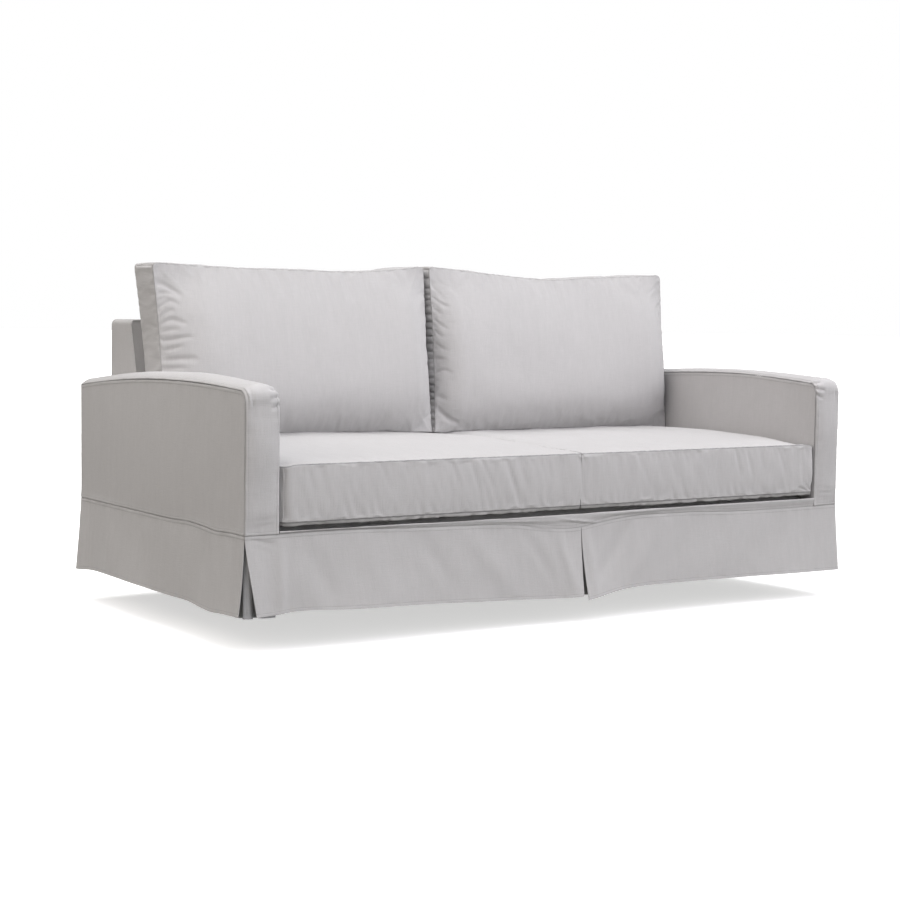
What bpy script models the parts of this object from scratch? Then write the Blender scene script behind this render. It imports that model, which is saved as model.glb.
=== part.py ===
"""Fitted slipcover of a two-seat sofa, with its seat and back cushions.

Sizes are metres, measured from the middle of the front, from the plane of the
arm fronts (y = 0, y grows to the back) and from the floor.  LOCATION then moves
every piece, so that the origin is in the middle of the deck's underside, where
the sofa carries the cover.
"""
import math

import bmesh
import bpy
import numpy as np

# ---------------------------------------------------------------- the sofa's sizes
WIDTH = 1.920              # over both arms
DEPTH = 0.987              # arm fronts to outside back
ARM_WIDTH = 0.090
ARM_TOP = 0.632            # outer arm seam at its highest
ARM_TOP_Y = 0.36           # where it is highest
ARM_FALL = 0.09            # the seam falls by ARM_FALL * distance squared
ARM_CORNER = 0.030         # radius of the seam at the top front corner
ARM_INNER_LIFT = 0.007     # the inner seam stands this much higher, behind the corner
ARM_CROWN_TOP = 0.014      # the band's padding above its seams, on top
ARM_CROWN_FRONT = 0.005    # and in front
ARM_CORNER_SWELL = 0.004   # more of it at the top front corner
ARM_BELLY = 0.004          # swelling of the outer side panel
PADDING_POWER = 3.0        # how boxy the band's padding is across its width
DECK_TOP = 0.2975          # the cloth under the seat cushions
RAIL_ROLL = 0.015          # radius of the front edge of the seat
RAIL_LAP = 0.030           # from the front plane to the deck's own front seam
BACK_TOP = 0.777
BACK_CORNER = 0.014        # radius of the back's upper corners, seen from the front
INSIDE_TOP_Y = 0.858       # inside back, upper edge
INSIDE_RAKE = 0.28         # it leans back by this much for each metre of height
SKIRT_SEAM = 0.283         # skirt seam above the floor, at sides and back
SKIRT_DROP = 0.190         # skirt seam to hem
SKIRT_FLARE = 0.012        # how far the hem stands out
PLEAT_X = 0.0265           # middle of the centre pleat
PLEAT_OPEN_LEFT = 0.026    # how far the front skirt draws back from the left corner
PLEAT_OPEN_RIGHT = -0.004  # at the right corner it hangs past the corner
PLEAT_OPEN_SIDE = 0.010    # and the side skirts from their front corners
PLEAT_OPEN_BACK = 0.009    # and all panels from the rear corners
PLEAT_OPEN_CENTRE = 0.012
PLEAT_DIP = 0.010          # how far the right panel hangs down beside the centre pleat
UNDERLAY_REACH = 0.080     # width of an underlay to each side of its pleat
UNDERLAY_DENT = 0.010      # how far an underlay's own fold lies back at the hem
UNDERLAY_LONGER = 0.006    # a corner underlay shows under the hem
UNDERLAY_SHORTER = 0.008   # the middle one hangs higher than the hem
UNDERLAY_BEND = 0.012      # radius at which a corner underlay turns
KICK_REACH = 0.070         # a skirt panel kicks out beside a pleat over this width
KICK_FRONT = (0.007, 0.004)    # by this much, at the left and right end of a front panel
KICK_SIDE = (0.005, 0.013)     # and at the front and rear end of a side panel
FRONT_RIPPLES = ((0.0035, 9.0, 0.6), (0.0020, 17.0, 0.0))    # height, per metre, phase
SIDE_RIPPLE = (0.004, 11.0, 0.4)
BACK_RIPPLE = (0.004, 8.0, 1.0)

CLOTH = 0.002              # doubled seams and cloth, taken as one thickness
GAP = 0.0003               # between neighbouring pieces
SEAM_CLEAR = 0.03          # an inner arm panel's columns stop this far before the back
LOCATION = (0.0, -DEPTH / 2, CLOTH - DECK_TOP)

HALF = WIDTH / 2
INNER = HALF - ARM_WIDTH   # inner face of an arm
SETBACK = CLOTH + GAP      # from a seam's outer corner to the piece that ends at it

# Front of the skirt: the seam sags to the middle pleat.  The last column is how much
# shorter the skirt is there than SKIRT_DROP.
#              x,     seam, short
FRONT_EDGE = ((-0.960, 0.283, 0.000),
              (-0.900, 0.283, 0.000),
              (-0.830, 0.284, 0.004),
              (-0.680, 0.284, -0.001),
              (-0.480, 0.278, 0.000),
              (-0.220, 0.271, -0.003),
              (0.025, 0.2525, 0.008),
              (0.090, 0.262, 0.001),
              (0.170, 0.271, 0.000),
              (0.350, 0.274, 0.000),
              (0.600, 0.267, 0.005),
              (0.960, 0.268, 0.001))

# Cushions: ends in x; the seats' own crown; the backs' upper edge from left to right.
SEATS = (("seat_cushion_left", -0.8640, 0.0195, 0.008),
         ("seat_cushion_right", 0.0215, 0.8685, 0.002))
BACKS = (("back_cushion_left", -0.8670, -0.0180, -0.011, -0.001,
          (0.926, 0.918, 0.914, 0.913, 0.911, 0.927, 0.937)),
         ("back_cushion_right", -0.0135, 0.8670, 0.006, 0.011,
          (0.937, 0.929, 0.918, 0.909, 0.920, 0.926, 0.930)))
SEAT_FRONT = -0.005
SEAT_BACK = 0.716
SEAT_SEAM_TOP = 0.4455     # upper boxing seam
SEAT_SEAM_LOW = 0.3095     # lower boxing seam
SEAT_ROLL = 0.006          # how steeply the top swells out of its seam
SEAT_RISE = 0.0155         # how far the top rises above its seam towards the back
SEAT_SIDE_SWELL = 0.003    # how far the boxing swells between its seams
BACK_FOOT_Y = 0.6495       # back cushions: front edge on the seat
BACK_LEAN = 0.118          # they lean back by this much for each metre
BACK_THICK_FOOT = 0.092
BACK_THICK_TOP = 0.118
BACK_BELLY = 0.036         # swelling of the front face
BACK_REAR = 0.016          # and of the rear face

CLOTH_COLOUR = (0.565, 0.555, 0.548, 1.0)
CUSHION_COLOUR = (0.600, 0.592, 0.590, 1.0)
UNDERLAY_COLOUR = (0.430, 0.432, 0.445, 1.0)


# ---------------------------------------------------------------- small tools
def clear_scene():
    for thing in list(bpy.data.objects):
        bpy.data.objects.remove(thing, do_unlink=True)


def smooth_table(x, xs, ys):
    """Curve through a table's rows: cubic pieces that share slopes at the rows."""
    xs, ys = np.asarray(xs, float), np.asarray(ys, float)
    slope = np.gradient(ys, xs)
    x = np.clip(x, xs[0], xs[-1])
    i = np.clip(np.searchsorted(xs, x) - 1, 0, len(xs) - 2)
    span = xs[i + 1] - xs[i]
    t = (x - xs[i]) / span
    rise = 3 * t ** 2 - 2 * t ** 3
    lead = (t ** 3 - 2 * t ** 2 + t) * span * slope[i]
    trail = (t ** 3 - t ** 2) * span * slope[i + 1]
    return ys[i] + (ys[i + 1] - ys[i]) * rise + lead + trail


def smooth_step(t):
    t = np.clip(t, 0.0, 1.0)
    return t * t * (3 - 2 * t)


def finish(name, colour):
    """A matt cotton of one colour, made anew for each piece."""
    material = bpy.data.materials.new(name + "_cloth")
    material.use_nodes = True
    shader = material.node_tree.nodes["Principled BSDF"]
    shader.inputs["Base Color"].default_value = colour
    shader.inputs["Roughness"].default_value = 0.92
    shader.inputs["Metallic"].default_value = 0.0
    return material


def add_piece(name, bm, colour, smooth_angle=35):
    """Turn a closed bmesh into the named piece, faces outwards."""
    bmesh.ops.recalc_face_normals(bm, faces=bm.faces)
    mesh = bpy.data.meshes.new(name)
    bm.to_mesh(mesh)
    bm.free()
    mesh.materials.append(finish(name, colour))
    mesh.shade_smooth()
    mesh.set_sharp_from_angle(angle=math.radians(smooth_angle))
    piece = bpy.data.objects.new(name, mesh)
    piece.location = LOCATION
    bpy.context.scene.collection.objects.link(piece)
    return piece


def cloth(name, face, inside, colour=CLOTH_COLOUR):
    """A piece of cloth from the grid [row, column, xyz] of its outer face.

    The inner face lies one thickness behind it, on the side of the point inside.
    """
    normal = np.cross(np.gradient(face, axis=0), np.gradient(face, axis=1))
    normal /= np.linalg.norm(normal, axis=2, keepdims=True)
    outward = np.sum(normal * (face - np.asarray(inside)), axis=2, keepdims=True)
    normal *= np.where(outward < 0, -1.0, 1.0)
    bm = bmesh.new()
    sides = []
    for layer in (face, face - normal * CLOTH):
        sides.append([[bm.verts.new(point) for point in row] for row in layer])
    rows, columns = face.shape[:2]
    for side in sides:
        for r in range(rows - 1):
            for c in range(columns - 1):
                bm.faces.new((side[r][c], side[r][c + 1], side[r + 1][c + 1], side[r + 1][c]))
    rim = [(0, c) for c in range(columns)]
    rim += [(r, columns - 1) for r in range(1, rows)]
    rim += [(rows - 1, c) for c in range(columns - 2, -1, -1)]
    rim += [(r, 0) for r in range(rows - 2, 0, -1)]
    for (r0, c0), (r1, c1) in zip(rim, rim[1:] + rim[:1]):
        bm.faces.new((sides[0][r0][c0], sides[0][r1][c1], sides[1][r1][c1], sides[1][r0][c0]))
    return add_piece(name, bm, colour)


def grid(u, v):
    """Two parameters as arrays over a grid: u down the rows, v along the columns."""
    return np.meshgrid(np.asarray(u, float), np.asarray(v, float), indexing="ij")


# ---------------------------------------------------------------- shared outlines
def stations(left, right):
    """Places along the front where every piece has a column, so that edges match."""
    pleat = PLEAT_X + UNDERLAY_REACH * np.array((-1.0, -0.6, -0.25, 0.0, 0.25, 0.6, 1.0))
    plain = np.linspace(-INNER, pleat[0], 11), pleat[1:-1], np.linspace(pleat[-1], INNER, 10)
    places = np.concatenate(plain)
    between = places[(places > left + 0.004) & (places < right - 0.004)]
    return np.concatenate(([left], between, [right]))


def front_seam(x):
    """Skirt seam across the front, straight from one station to the next."""
    rows = np.array(FRONT_EDGE)
    places = stations(-HALF, HALF)
    return np.interp(x, places, smooth_table(places, rows[:, 0], rows[:, 1]))


def front_hem(x):
    rows = np.array(FRONT_EDGE)
    return front_seam(x) - SKIRT_DROP + smooth_table(x, rows[:, 0], rows[:, 2])


def side_seam(side, y):
    """Skirt seam along a side: from the front seam's end to the level back seam."""
    start = front_seam(side * HALF)
    return start + (SKIRT_SEAM - start) * np.clip(y / DEPTH, 0, 1)


def arm_outline(offset, columns):
    """The arm's side outline, drawn in by offset: (y, z) from the front to the back."""
    shoulder = ARM_TOP - ARM_FALL * (ARM_CORNER - ARM_TOP_Y) ** 2 - ARM_CORNER
    turn = np.linspace(0, math.pi / 2, 6)
    radius = ARM_CORNER - offset
    y_turn = ARM_CORNER - radius * np.cos(turn)
    z_turn = shoulder + radius * np.sin(turn)
    y_top = np.linspace(ARM_CORNER, DEPTH - SETBACK, columns + 1)[1:]
    z_top = ARM_TOP - offset - ARM_FALL * (y_top - ARM_TOP_Y) ** 2
    return np.concatenate((y_turn, y_top)), np.concatenate((z_turn, z_top))


def inner_lift(y):
    """How much higher an arm's inner seam stands than its outer one."""
    return ARM_INNER_LIFT * smooth_step((y - ARM_CORNER) / 0.30)


def inside_back_y(z):
    """Front face of the inside back at a height."""
    return INSIDE_TOP_Y - INSIDE_RAKE * (BACK_TOP - z)


def crown(t, power):
    """Cross-section of padding: 0 at both seams (t = 0 and 1), 1 in the middle."""
    return 1 - np.abs(2 * t - 1) ** power


# ---------------------------------------------------------------- arms
ARM_COLUMNS = 14


def arm_hollow(side):
    """A point inside the arm: cloth lies on its outer side."""
    return (side * (HALF - ARM_WIDTH / 2), 0.3, 0.35)


def arm_outer(side, word):
    """The outer side panel; it ends inside the band's seam and swells a little."""
    y_line, top = arm_outline(SETBACK, ARM_COLUMNS)
    i, v = grid(np.arange(len(y_line)), np.linspace(0, 1, 6))
    i = i.astype(int)
    y = y_line[i]
    low = side_seam(side, y) + GAP
    z = low + (top[i] - low) * v
    swell = ARM_BELLY * np.sin(math.pi * y / DEPTH) * np.sin(math.pi * v)
    cloth("arm_outer_" + word, np.stack((side * (HALF + swell), y, z), axis=2), arm_hollow(side))


def arm_inner(side, word):
    """The inner side panel: on the deck's edge, back to the raked inside back."""
    y_line, top = arm_outline(SETBACK, ARM_COLUMNS)
    top = top + inner_lift(y_line)
    ahead = y_line < inside_back_y(DECK_TOP) - SEAM_CLEAR
    y_line = y_line[ahead]
    corner = inside_back_y(np.interp(INSIDE_TOP_Y, arm_outline(0.0, ARM_COLUMNS)[0], top))
    i, v = grid(np.arange(len(y_line) + 2), np.linspace(0, 1, 4))
    i = i.astype(int)
    low = DECK_TOP + GAP
    full_y = np.concatenate((y_line, [(y_line[-1] + corner) / 2, corner]))
    full_top = np.interp(full_y, arm_outline(SETBACK, ARM_COLUMNS)[0], top)
    z = low + (full_top[i] - low) * v
    reach = inside_back_y(z) - 2 * GAP
    share = np.clip((full_y[i] - y_line[-1]) / (corner - y_line[-1]), 0, 1)
    y = np.where(share > 0, y_line[-1] + share * (reach - y_line[-1]), full_y[i])
    cloth("arm_inner_" + word, np.stack((np.full_like(z, side * INNER), y, z), axis=2),
          arm_hollow(side))


def arm_band(side, word):
    """The long strip up the arm's front, round its corner and back along its top."""
    y_line, z_line = arm_outline(0.0, ARM_COLUMNS)
    shoulder = z_line[0]
    rise = np.linspace(0, 1, 6)[:-1]
    t = np.linspace(0, 1, 9)
    low = front_seam(side * (HALF - ARM_WIDTH * t)) + GAP
    front_z = low + (shoulder - low) * rise[:, None]
    top_z = z_line[:, None] + inner_lift(y_line)[:, None] * t
    y = np.concatenate((np.zeros_like(front_z), np.repeat(y_line[:, None], len(t), axis=1)))
    z = np.concatenate((front_z, top_z))
    turned = np.arccos(1 - np.clip(y / ARM_CORNER, 0, 1))
    height = ARM_CROWN_FRONT + (ARM_CROWN_TOP - ARM_CROWN_FRONT) * smooth_step(
        (z - 0.50) / (ARM_TOP - 0.50)) + ARM_CORNER_SWELL * np.sin(2 * turned)
    puff = height * crown(t, PADDING_POWER) * smooth_step((z - low) / 0.06)
    x = np.repeat(side * (HALF - ARM_WIDTH * t)[None, :], len(y), axis=0)
    face = np.stack((x, y - np.cos(turned) * puff, z + np.sin(turned) * puff), axis=2)
    cloth("arm_band_" + word, face, arm_hollow(side))


# ---------------------------------------------------------------- back
def back_outside():
    """The outside back: as wide as the sofa up to the arms, then as the back alone."""
    low = SKIRT_SEAM + GAP
    level = ARM_TOP - ARM_FALL * (DEPTH - ARM_TOP_Y) ** 2
    ear = np.linspace(0, 1, 7)[:-1]
    ear_x = HALF - ARM_WIDTH * ear
    ear_z = level + ARM_INNER_LIFT * ear + ARM_CROWN_TOP * crown(ear, PADDING_POWER)
    curve = np.linspace(0, math.pi / 2, 5)
    upper_x = INNER - BACK_CORNER * (1 - np.sin(curve))
    upper_z = BACK_TOP - BACK_CORNER * (1 - np.cos(curve))
    middle = np.linspace(-upper_x[0], upper_x[0], 9)[1:-1]
    back_x = np.concatenate((-upper_x[::-1], middle, upper_x))
    back_z = np.concatenate((upper_z[::-1], np.full(len(middle), BACK_TOP), upper_z))
    join_z = np.full(len(back_x), level + ARM_INNER_LIFT)
    all_x = np.concatenate((-ear_x, back_x, ear_x[::-1]))
    all_z = np.concatenate((ear_z, join_z, ear_z[::-1]))
    bm = bmesh.new()
    layers = []
    for y in (DEPTH - CLOTH, DEPTH):
        foot = [bm.verts.new((x, y, low)) for x in all_x]
        join = [bm.verts.new((x, y, z)) for x, z in zip(all_x, all_z)]
        top = [bm.verts.new((x, y, z)) for x, z in zip(back_x, back_z)]
        neck = join[len(ear_x):len(ear_x) + len(back_x)]
        for lower, upper in ((foot, join), (neck, top)):
            for i in range(len(lower) - 1):
                bm.faces.new((lower[i], lower[i + 1], upper[i + 1], upper[i]))
        layers.append(foot + join + top)
    far_of = dict(zip(*layers))
    rim = [edge.verts[:] for edge in bm.edges if edge.is_boundary and edge.verts[0] in far_of]
    for one, two in rim:
        bm.faces.new((one, two, far_of[two], far_of[one]))
    add_piece("back_outside", bm, CLOTH_COLOUR)


def back_band():
    """The strip round the back's thickness: up the left end, over the top and down."""
    end = INNER - GAP
    low = ARM_TOP - ARM_FALL * (INSIDE_TOP_Y - ARM_TOP_Y) ** 2
    curve = np.linspace(0, math.pi / 2, 5)
    corner_x = end - BACK_CORNER * (1 - np.cos(curve))
    corner_z = BACK_TOP - BACK_CORNER * (1 - np.sin(curve))
    rise_z = np.linspace(low, corner_z[0], 5)[:-1]
    right_x = np.concatenate((np.full(4, end), corner_x))
    right_z = np.concatenate((rise_z, corner_z))
    top_x = np.linspace(corner_x[-1], -corner_x[-1], 11)[1:-1]
    path_x = np.concatenate((-right_x, top_x[::-1], right_x[::-1]))
    path_z = np.concatenate((right_z, np.full(len(top_x), BACK_TOP), right_z[::-1]))
    i, t = grid(np.arange(len(path_x)), np.linspace(0, 1, 4))
    x = path_x[i.astype(int)]
    z = path_z[i.astype(int)]
    front = inside_back_y(z)
    y = front + (DEPTH - SETBACK - front) * t
    cloth("back_band", np.stack((x, y, z), axis=2), (0.0, 0.92, 0.60))


def back_inside():
    """The raked inside back, from the deck to the band's front edge; its upper corners
    follow the band's."""
    turn = np.linspace(0, math.pi / 2, 5)
    radius = BACK_CORNER - SETBACK - GAP
    foot = DECK_TOP + GAP + CLOTH * INSIDE_RAKE
    rise = np.linspace(foot, BACK_TOP - BACK_CORNER, 6)[:-1]
    z_rows = np.concatenate((rise, BACK_TOP - BACK_CORNER + radius * np.sin(turn)))
    half = INNER - BACK_CORNER + np.concatenate((np.full(5, radius), radius * np.cos(turn)))
    i, across = grid(np.arange(len(z_rows)), np.linspace(-1, 1, 9))
    i = i.astype(int)
    z = z_rows[i]
    cloth("back_inside", np.stack((across * half[i], inside_back_y(z), z), axis=2),
          (0.0, 0.95, 0.50))


# ---------------------------------------------------------------- seat
def deck():
    """The flat cloth under the seat cushions; the inner arm panels stand on its edges."""
    half = INNER + CLOTH
    back = inside_back_y(DECK_TOP) + CLOTH
    y, x = grid(np.linspace(RAIL_LAP + GAP, back, 4), np.linspace(-half, half, 7))
    cloth("deck", np.stack((x, y, np.full_like(x, DECK_TOP)), axis=2), (0.0, 0.4, 0.1))


def front_rail():
    """The strip over the front edge of the seat and down to the skirt."""
    half = INNER - GAP
    turn = np.linspace(0, math.pi / 2, 5)
    roll_y = np.concatenate(([RAIL_LAP], RAIL_ROLL * (1 - np.sin(turn)), [0.0]))
    roll_share = np.concatenate(([0.0], 0.8 * (1 - np.cos(turn)), [1.0]))
    i, x = grid(np.arange(len(roll_y)), stations(-half, half))
    i = i.astype(int)
    z = DECK_TOP - (DECK_TOP - front_seam(x) - GAP) * roll_share[i]
    cloth("front_rail", np.stack((x, roll_y[i], z), axis=2), (0.0, 0.3, 0.1))


# ---------------------------------------------------------------- skirt
def flare(v):
    """How far the skirt stands out, from 0 at its seam to 1 at its hem."""
    return v ** 1.25


def front_skirt(word, left, right, open_left, open_right, dip):
    """One front panel.  Its ends draw back from the pleats towards the hem, where the
    left end may hang down by dip."""
    v, place = grid(np.linspace(0, 1, 7), stations(left, right))
    s = (place - left) / (right - left)
    x = place + (open_left * (1 - s) ** 4 - open_right * s ** 4) * flare(v)
    top = front_seam(x) - GAP
    z = top + (front_hem(x) - dip * np.exp(-((x - left) / KICK_REACH) ** 2) - top) * v
    ripple = sum(high * np.sin(rate * x + phase) for high, rate, phase in FRONT_RIPPLES)
    kick = sum(out * np.exp(-((x - end) / KICK_REACH) ** 2)
               for out, end in zip(KICK_FRONT, (left, right)))
    y = -(SKIRT_FLARE + kick) * flare(v) - ripple * v * v
    cloth("skirt_front_" + word, np.stack((x, y, z), axis=2), (0.0, 0.5, 0.2))


def side_skirt(side, word):
    """A side panel of the skirt, from the front corner's pleat to the rear one."""
    high, rate, phase = SIDE_RIPPLE
    v, s = grid(np.linspace(0, 1, 7), np.linspace(0, 1, 17))
    start = SETBACK + PLEAT_OPEN_SIDE * flare(v)
    stop = DEPTH - SETBACK - PLEAT_OPEN_BACK * flare(v)
    y = start + (stop - start) * s
    top = side_seam(side, y) - GAP
    hem = top - SKIRT_DROP - 0.003 * np.sin(2 * math.pi * s) - 0.006 * np.exp(
        -((1 - s) * DEPTH / KICK_REACH) ** 2)
    z = top + (hem - top) * v
    ripple = high * np.sin(rate * y + phase) * v * v
    kick = sum(out * np.exp(-((s - end) * DEPTH / KICK_REACH) ** 2)
               for out, end in zip(KICK_SIDE, (0.0, 1.0)))
    x = side * (HALF + (SKIRT_FLARE + kick) * flare(v) + ripple)
    cloth("skirt_side_" + word, np.stack((x, y, z), axis=2), (0.0, 0.5, 0.2))


def back_skirt():
    high, rate, phase = BACK_RIPPLE
    v, x = grid(np.linspace(0, 1, 6), np.linspace(-HALF, HALF, 21))
    x = x * (1 - PLEAT_OPEN_BACK * flare(v) / HALF)
    top = SKIRT_SEAM - GAP
    z = top - SKIRT_DROP * v - 0.003 * np.sin(7 * x) * v
    y = DEPTH + SKIRT_FLARE * flare(v) + high * np.sin(rate * x + phase) * v * v
    cloth("skirt_back", np.stack((x, y, z), axis=2), (0.0, 0.5, 0.2))


def corner_underlay(side, at_back, word):
    """The cloth behind a corner pleat: it turns the corner and folds back at the hem."""
    corner_y = DEPTH if at_back else 0.0
    into = -1.0 if at_back else 1.0
    turn = np.linspace(0, math.pi / 2, 5)
    legs = UNDERLAY_REACH * np.array((0.35, 0.65, 1.0))
    across = np.concatenate(([0.0, 0.0, 0.0], UNDERLAY_BEND * (1 - np.cos(turn)), legs))
    back = np.concatenate((legs[::-1], UNDERLAY_BEND * (1 - np.sin(turn)), [0.0, 0.0, 0.0]))
    v, i = grid(np.linspace(0, 1, 6), np.arange(len(across)))
    i = i.astype(int)
    step = np.abs(np.arange(len(across)) - (len(across) - 1) / 2)
    fold = np.exp(-(step / 1.6) ** 2)[i]
    inset = SETBACK + GAP + UNDERLAY_DENT * fold * flare(v) * 0.7
    ease = -0.5 * SKIRT_FLARE * flare(v) * (1 - fold)
    x = side * (HALF - across[i] - inset - ease)
    y = corner_y + into * (back[i] + inset + ease)
    seam = side_seam(side, corner_y)
    top = np.minimum(seam, front_seam(x) if not at_back else SKIRT_SEAM) - GAP
    z = top + (seam - SKIRT_DROP - UNDERLAY_LONGER - top) * v
    hollow = (side * (HALF - 0.3), corner_y + into * 0.3, 0.2)
    cloth("pleat_underlay_" + word, np.stack((x, y, z), axis=2), hollow, UNDERLAY_COLOUR)


def centre_underlay():
    v, x = grid(np.linspace(0, 1, 6), stations(PLEAT_X - UNDERLAY_REACH, PLEAT_X + UNDERLAY_REACH))
    fold = np.exp(-((x - PLEAT_X) / 0.03) ** 2)
    y = SETBACK + 2 * GAP + (UNDERLAY_DENT * fold - 0.3 * SKIRT_FLARE * (1 - fold)) * flare(v)
    top = front_seam(x) - GAP
    z = top + (front_seam(PLEAT_X) - SKIRT_DROP + UNDERLAY_SHORTER - top) * v
    cloth("pleat_underlay_centre", np.stack((x, y, z), axis=2), (0.0, 0.5, 0.2), UNDERLAY_COLOUR)


# ---------------------------------------------------------------- cushions
def cushion_block(cuts_x, cuts_y, cuts_z):
    """A cube from -1 to 1, cut by planes at the given places on each axis."""
    bm = bmesh.new()
    bmesh.ops.create_cube(bm, size=2.0)
    for axis, cuts in enumerate((cuts_x, cuts_y, cuts_z)):
        for place in cuts:
            spot, across = [0.0] * 3, [0.0] * 3
            spot[axis], across[axis] = place, 1.0
            bmesh.ops.bisect_plane(bm, geom=bm.verts[:] + bm.edges[:] + bm.faces[:],
                                   plane_co=spot, plane_no=across)
    return bm


def move_all(bm, shape):
    """Carry every vertex (a, b, c) of a block to shape(a, b, c), as arrays."""
    block = np.array([vert.co for vert in bm.verts])
    for vert, place in zip(bm.verts, np.stack(shape(*block.T), axis=1)):
        vert.co = place


def seat_level(a, swell):
    """Height of a seat's top where a back cushion stands, from end to end (a = -1 to 1)."""
    return SEAT_SEAM_TOP + (SEAT_RISE + swell * (1 - a ** 2)) * (1 - np.abs(a) ** 16)


def seat_cushion(name, left, right, swell):
    """A boxed seat cushion: flat underneath, its top crowned and higher to the back."""
    cuts = (-0.97, -0.9, -0.7, -0.4, 0.0, 0.4, 0.7, 0.9, 0.97)
    bm = cushion_block(cuts, cuts, (-0.85, 0.0, 0.85))
    half, half_depth = (right - left) / 2, (SEAT_BACK - SEAT_FRONT) / 2

    def shape(a, b, c):
        edge = np.maximum(np.abs(a), np.abs(b))
        side = SEAT_SIDE_SWELL * c ** 2 + 0.004 * np.abs(a * b) ** 8
        x = left + half + a * (half - side)
        y = SEAT_FRONT + half_depth + b * (half_depth - side)
        share = smooth_step((b + 1) / 1.3)
        rise = SEAT_ROLL + (SEAT_RISE - SEAT_ROLL + swell * (1 - a ** 2)) * share
        droop = 0.006 * smooth_step((np.abs(a) - 0.9) / 0.1) * (b < 0)
        shut = np.where(b > 0, b ** 60, b ** 24)
        top = SEAT_SEAM_TOP - droop + rise * (1 - np.abs(a) ** 16) * (1 - shut)
        low = SEAT_SEAM_LOW - (SEAT_SEAM_LOW - DECK_TOP - GAP) * smooth_step((1 - edge) / 0.03)
        return x, y, low + (top - low) * (c + 1) / 2

    move_all(bm, shape)
    add_piece(name, bm, CUSHION_COLOUR)


def back_cushion(name, left, right, splay_left, splay_right, tops, seat):
    """A boxed back cushion: it leans, its foot follows the seat it stands on, its face
    swells forwards and its ends splay by the given amounts at the top."""
    bm = cushion_block((-0.97, -0.9, -0.7, -0.4, -0.15, 0.15, 0.4, 0.7, 0.9, 0.97),
                       (-0.4, 0.4), (-0.95, -0.82, -0.55, -0.2, 0.2, 0.55, 0.82, 0.95))
    half = (right - left) / 2
    seat_left, seat_right, swell = seat[1:]
    table_x = np.linspace(left, right, len(tops))

    def shape(a, b, c):
        share = (c + 1) / 2
        puff = SEAT_SIDE_SWELL * b ** 2
        x = left + half + a * (half - puff - 0.008 * (1 - c ** 2) * np.abs(a))
        place = np.clip((x - seat_left) / (seat_right - seat_left) * 2 - 1, -0.9, 0.9)
        foot = seat_level(place, swell) + 2 * GAP
        top = smooth_table(x, table_x, tops) + (0.004 * (1 - b ** 2)) * (c > 0.99)
        z = foot + (top - foot) * share
        front = BACK_FOOT_Y + BACK_LEAN * (z - foot)
        thick = BACK_THICK_FOOT + (BACK_THICK_TOP - BACK_THICK_FOOT) * share
        open_face = (1 - np.abs(a) ** 5) * (1 - np.abs(c) ** 4)
        face = front - BACK_BELLY * open_face
        rear = front + thick + BACK_REAR * open_face
        y = face + (rear - face) * (b + 1) / 2
        splay = splay_left + (splay_right - splay_left) * (a + 1) / 2
        return x + splay * share, y, z

    move_all(bm, shape)
    add_piece(name, bm, CUSHION_COLOUR)


# ---------------------------------------------------------------- the whole cover
def build():
    clear_scene()
    for side, word in ((-1, "left"), (1, "right")):
        arm_outer(side, word)
        arm_inner(side, word)
        arm_band(side, word)
        side_skirt(side, word)
        corner_underlay(side, False, "front_" + word)
        corner_underlay(side, True, "back_" + word)
    back_outside()
    back_band()
    back_inside()
    deck()
    front_rail()
    front_skirt("left", -HALF, PLEAT_X - GAP, PLEAT_OPEN_LEFT, 0.0, 0.0)
    front_skirt("right", PLEAT_X + GAP, HALF, PLEAT_OPEN_CENTRE, PLEAT_OPEN_RIGHT, PLEAT_DIP)
    back_skirt()
    centre_underlay()
    for seat, back in zip(SEATS, BACKS):
        seat_cushion(*seat)
        back_cushion(*back, seat)


build()
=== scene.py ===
"""Looks of a fitted slipcover with its two seat cushions and two back cushions.

Lengths are metres.  Every shape is worked out from the middle of the front, from the
plane of the arm fronts (y grows to the back) and from the floor; place() then moves it
into the frame, whose origin is the middle of the deck's underside.  The cloth is a thin
closed sheet over the folds of its solid, with seams, puckers and creases added as
heights along its normals.  A grid of points is [row, column, xyz]; "across" goes along
its rows and "along" goes from its first row to its last.
"""
import math

import bpy
import numpy as np
from mathutils import Matrix, Vector


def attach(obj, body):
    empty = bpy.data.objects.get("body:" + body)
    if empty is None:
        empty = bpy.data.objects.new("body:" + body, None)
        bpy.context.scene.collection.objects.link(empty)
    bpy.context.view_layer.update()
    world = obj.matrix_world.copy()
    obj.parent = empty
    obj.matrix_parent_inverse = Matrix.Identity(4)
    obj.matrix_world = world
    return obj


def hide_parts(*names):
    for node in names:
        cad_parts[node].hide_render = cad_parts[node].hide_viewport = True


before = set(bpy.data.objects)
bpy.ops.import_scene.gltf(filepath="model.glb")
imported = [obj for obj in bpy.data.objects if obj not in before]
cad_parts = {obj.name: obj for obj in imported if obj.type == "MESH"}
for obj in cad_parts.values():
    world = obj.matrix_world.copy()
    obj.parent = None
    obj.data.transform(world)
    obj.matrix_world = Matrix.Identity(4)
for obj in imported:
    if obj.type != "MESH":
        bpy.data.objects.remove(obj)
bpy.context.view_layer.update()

# ---------------------------------------------------------------- the cover's sizes
WIDTH, DEPTH = 1.920, 0.987
HALF = WIDTH / 2
ARM_WIDTH = 0.090
INNER = HALF - ARM_WIDTH                   # the arms' inner planes
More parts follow.
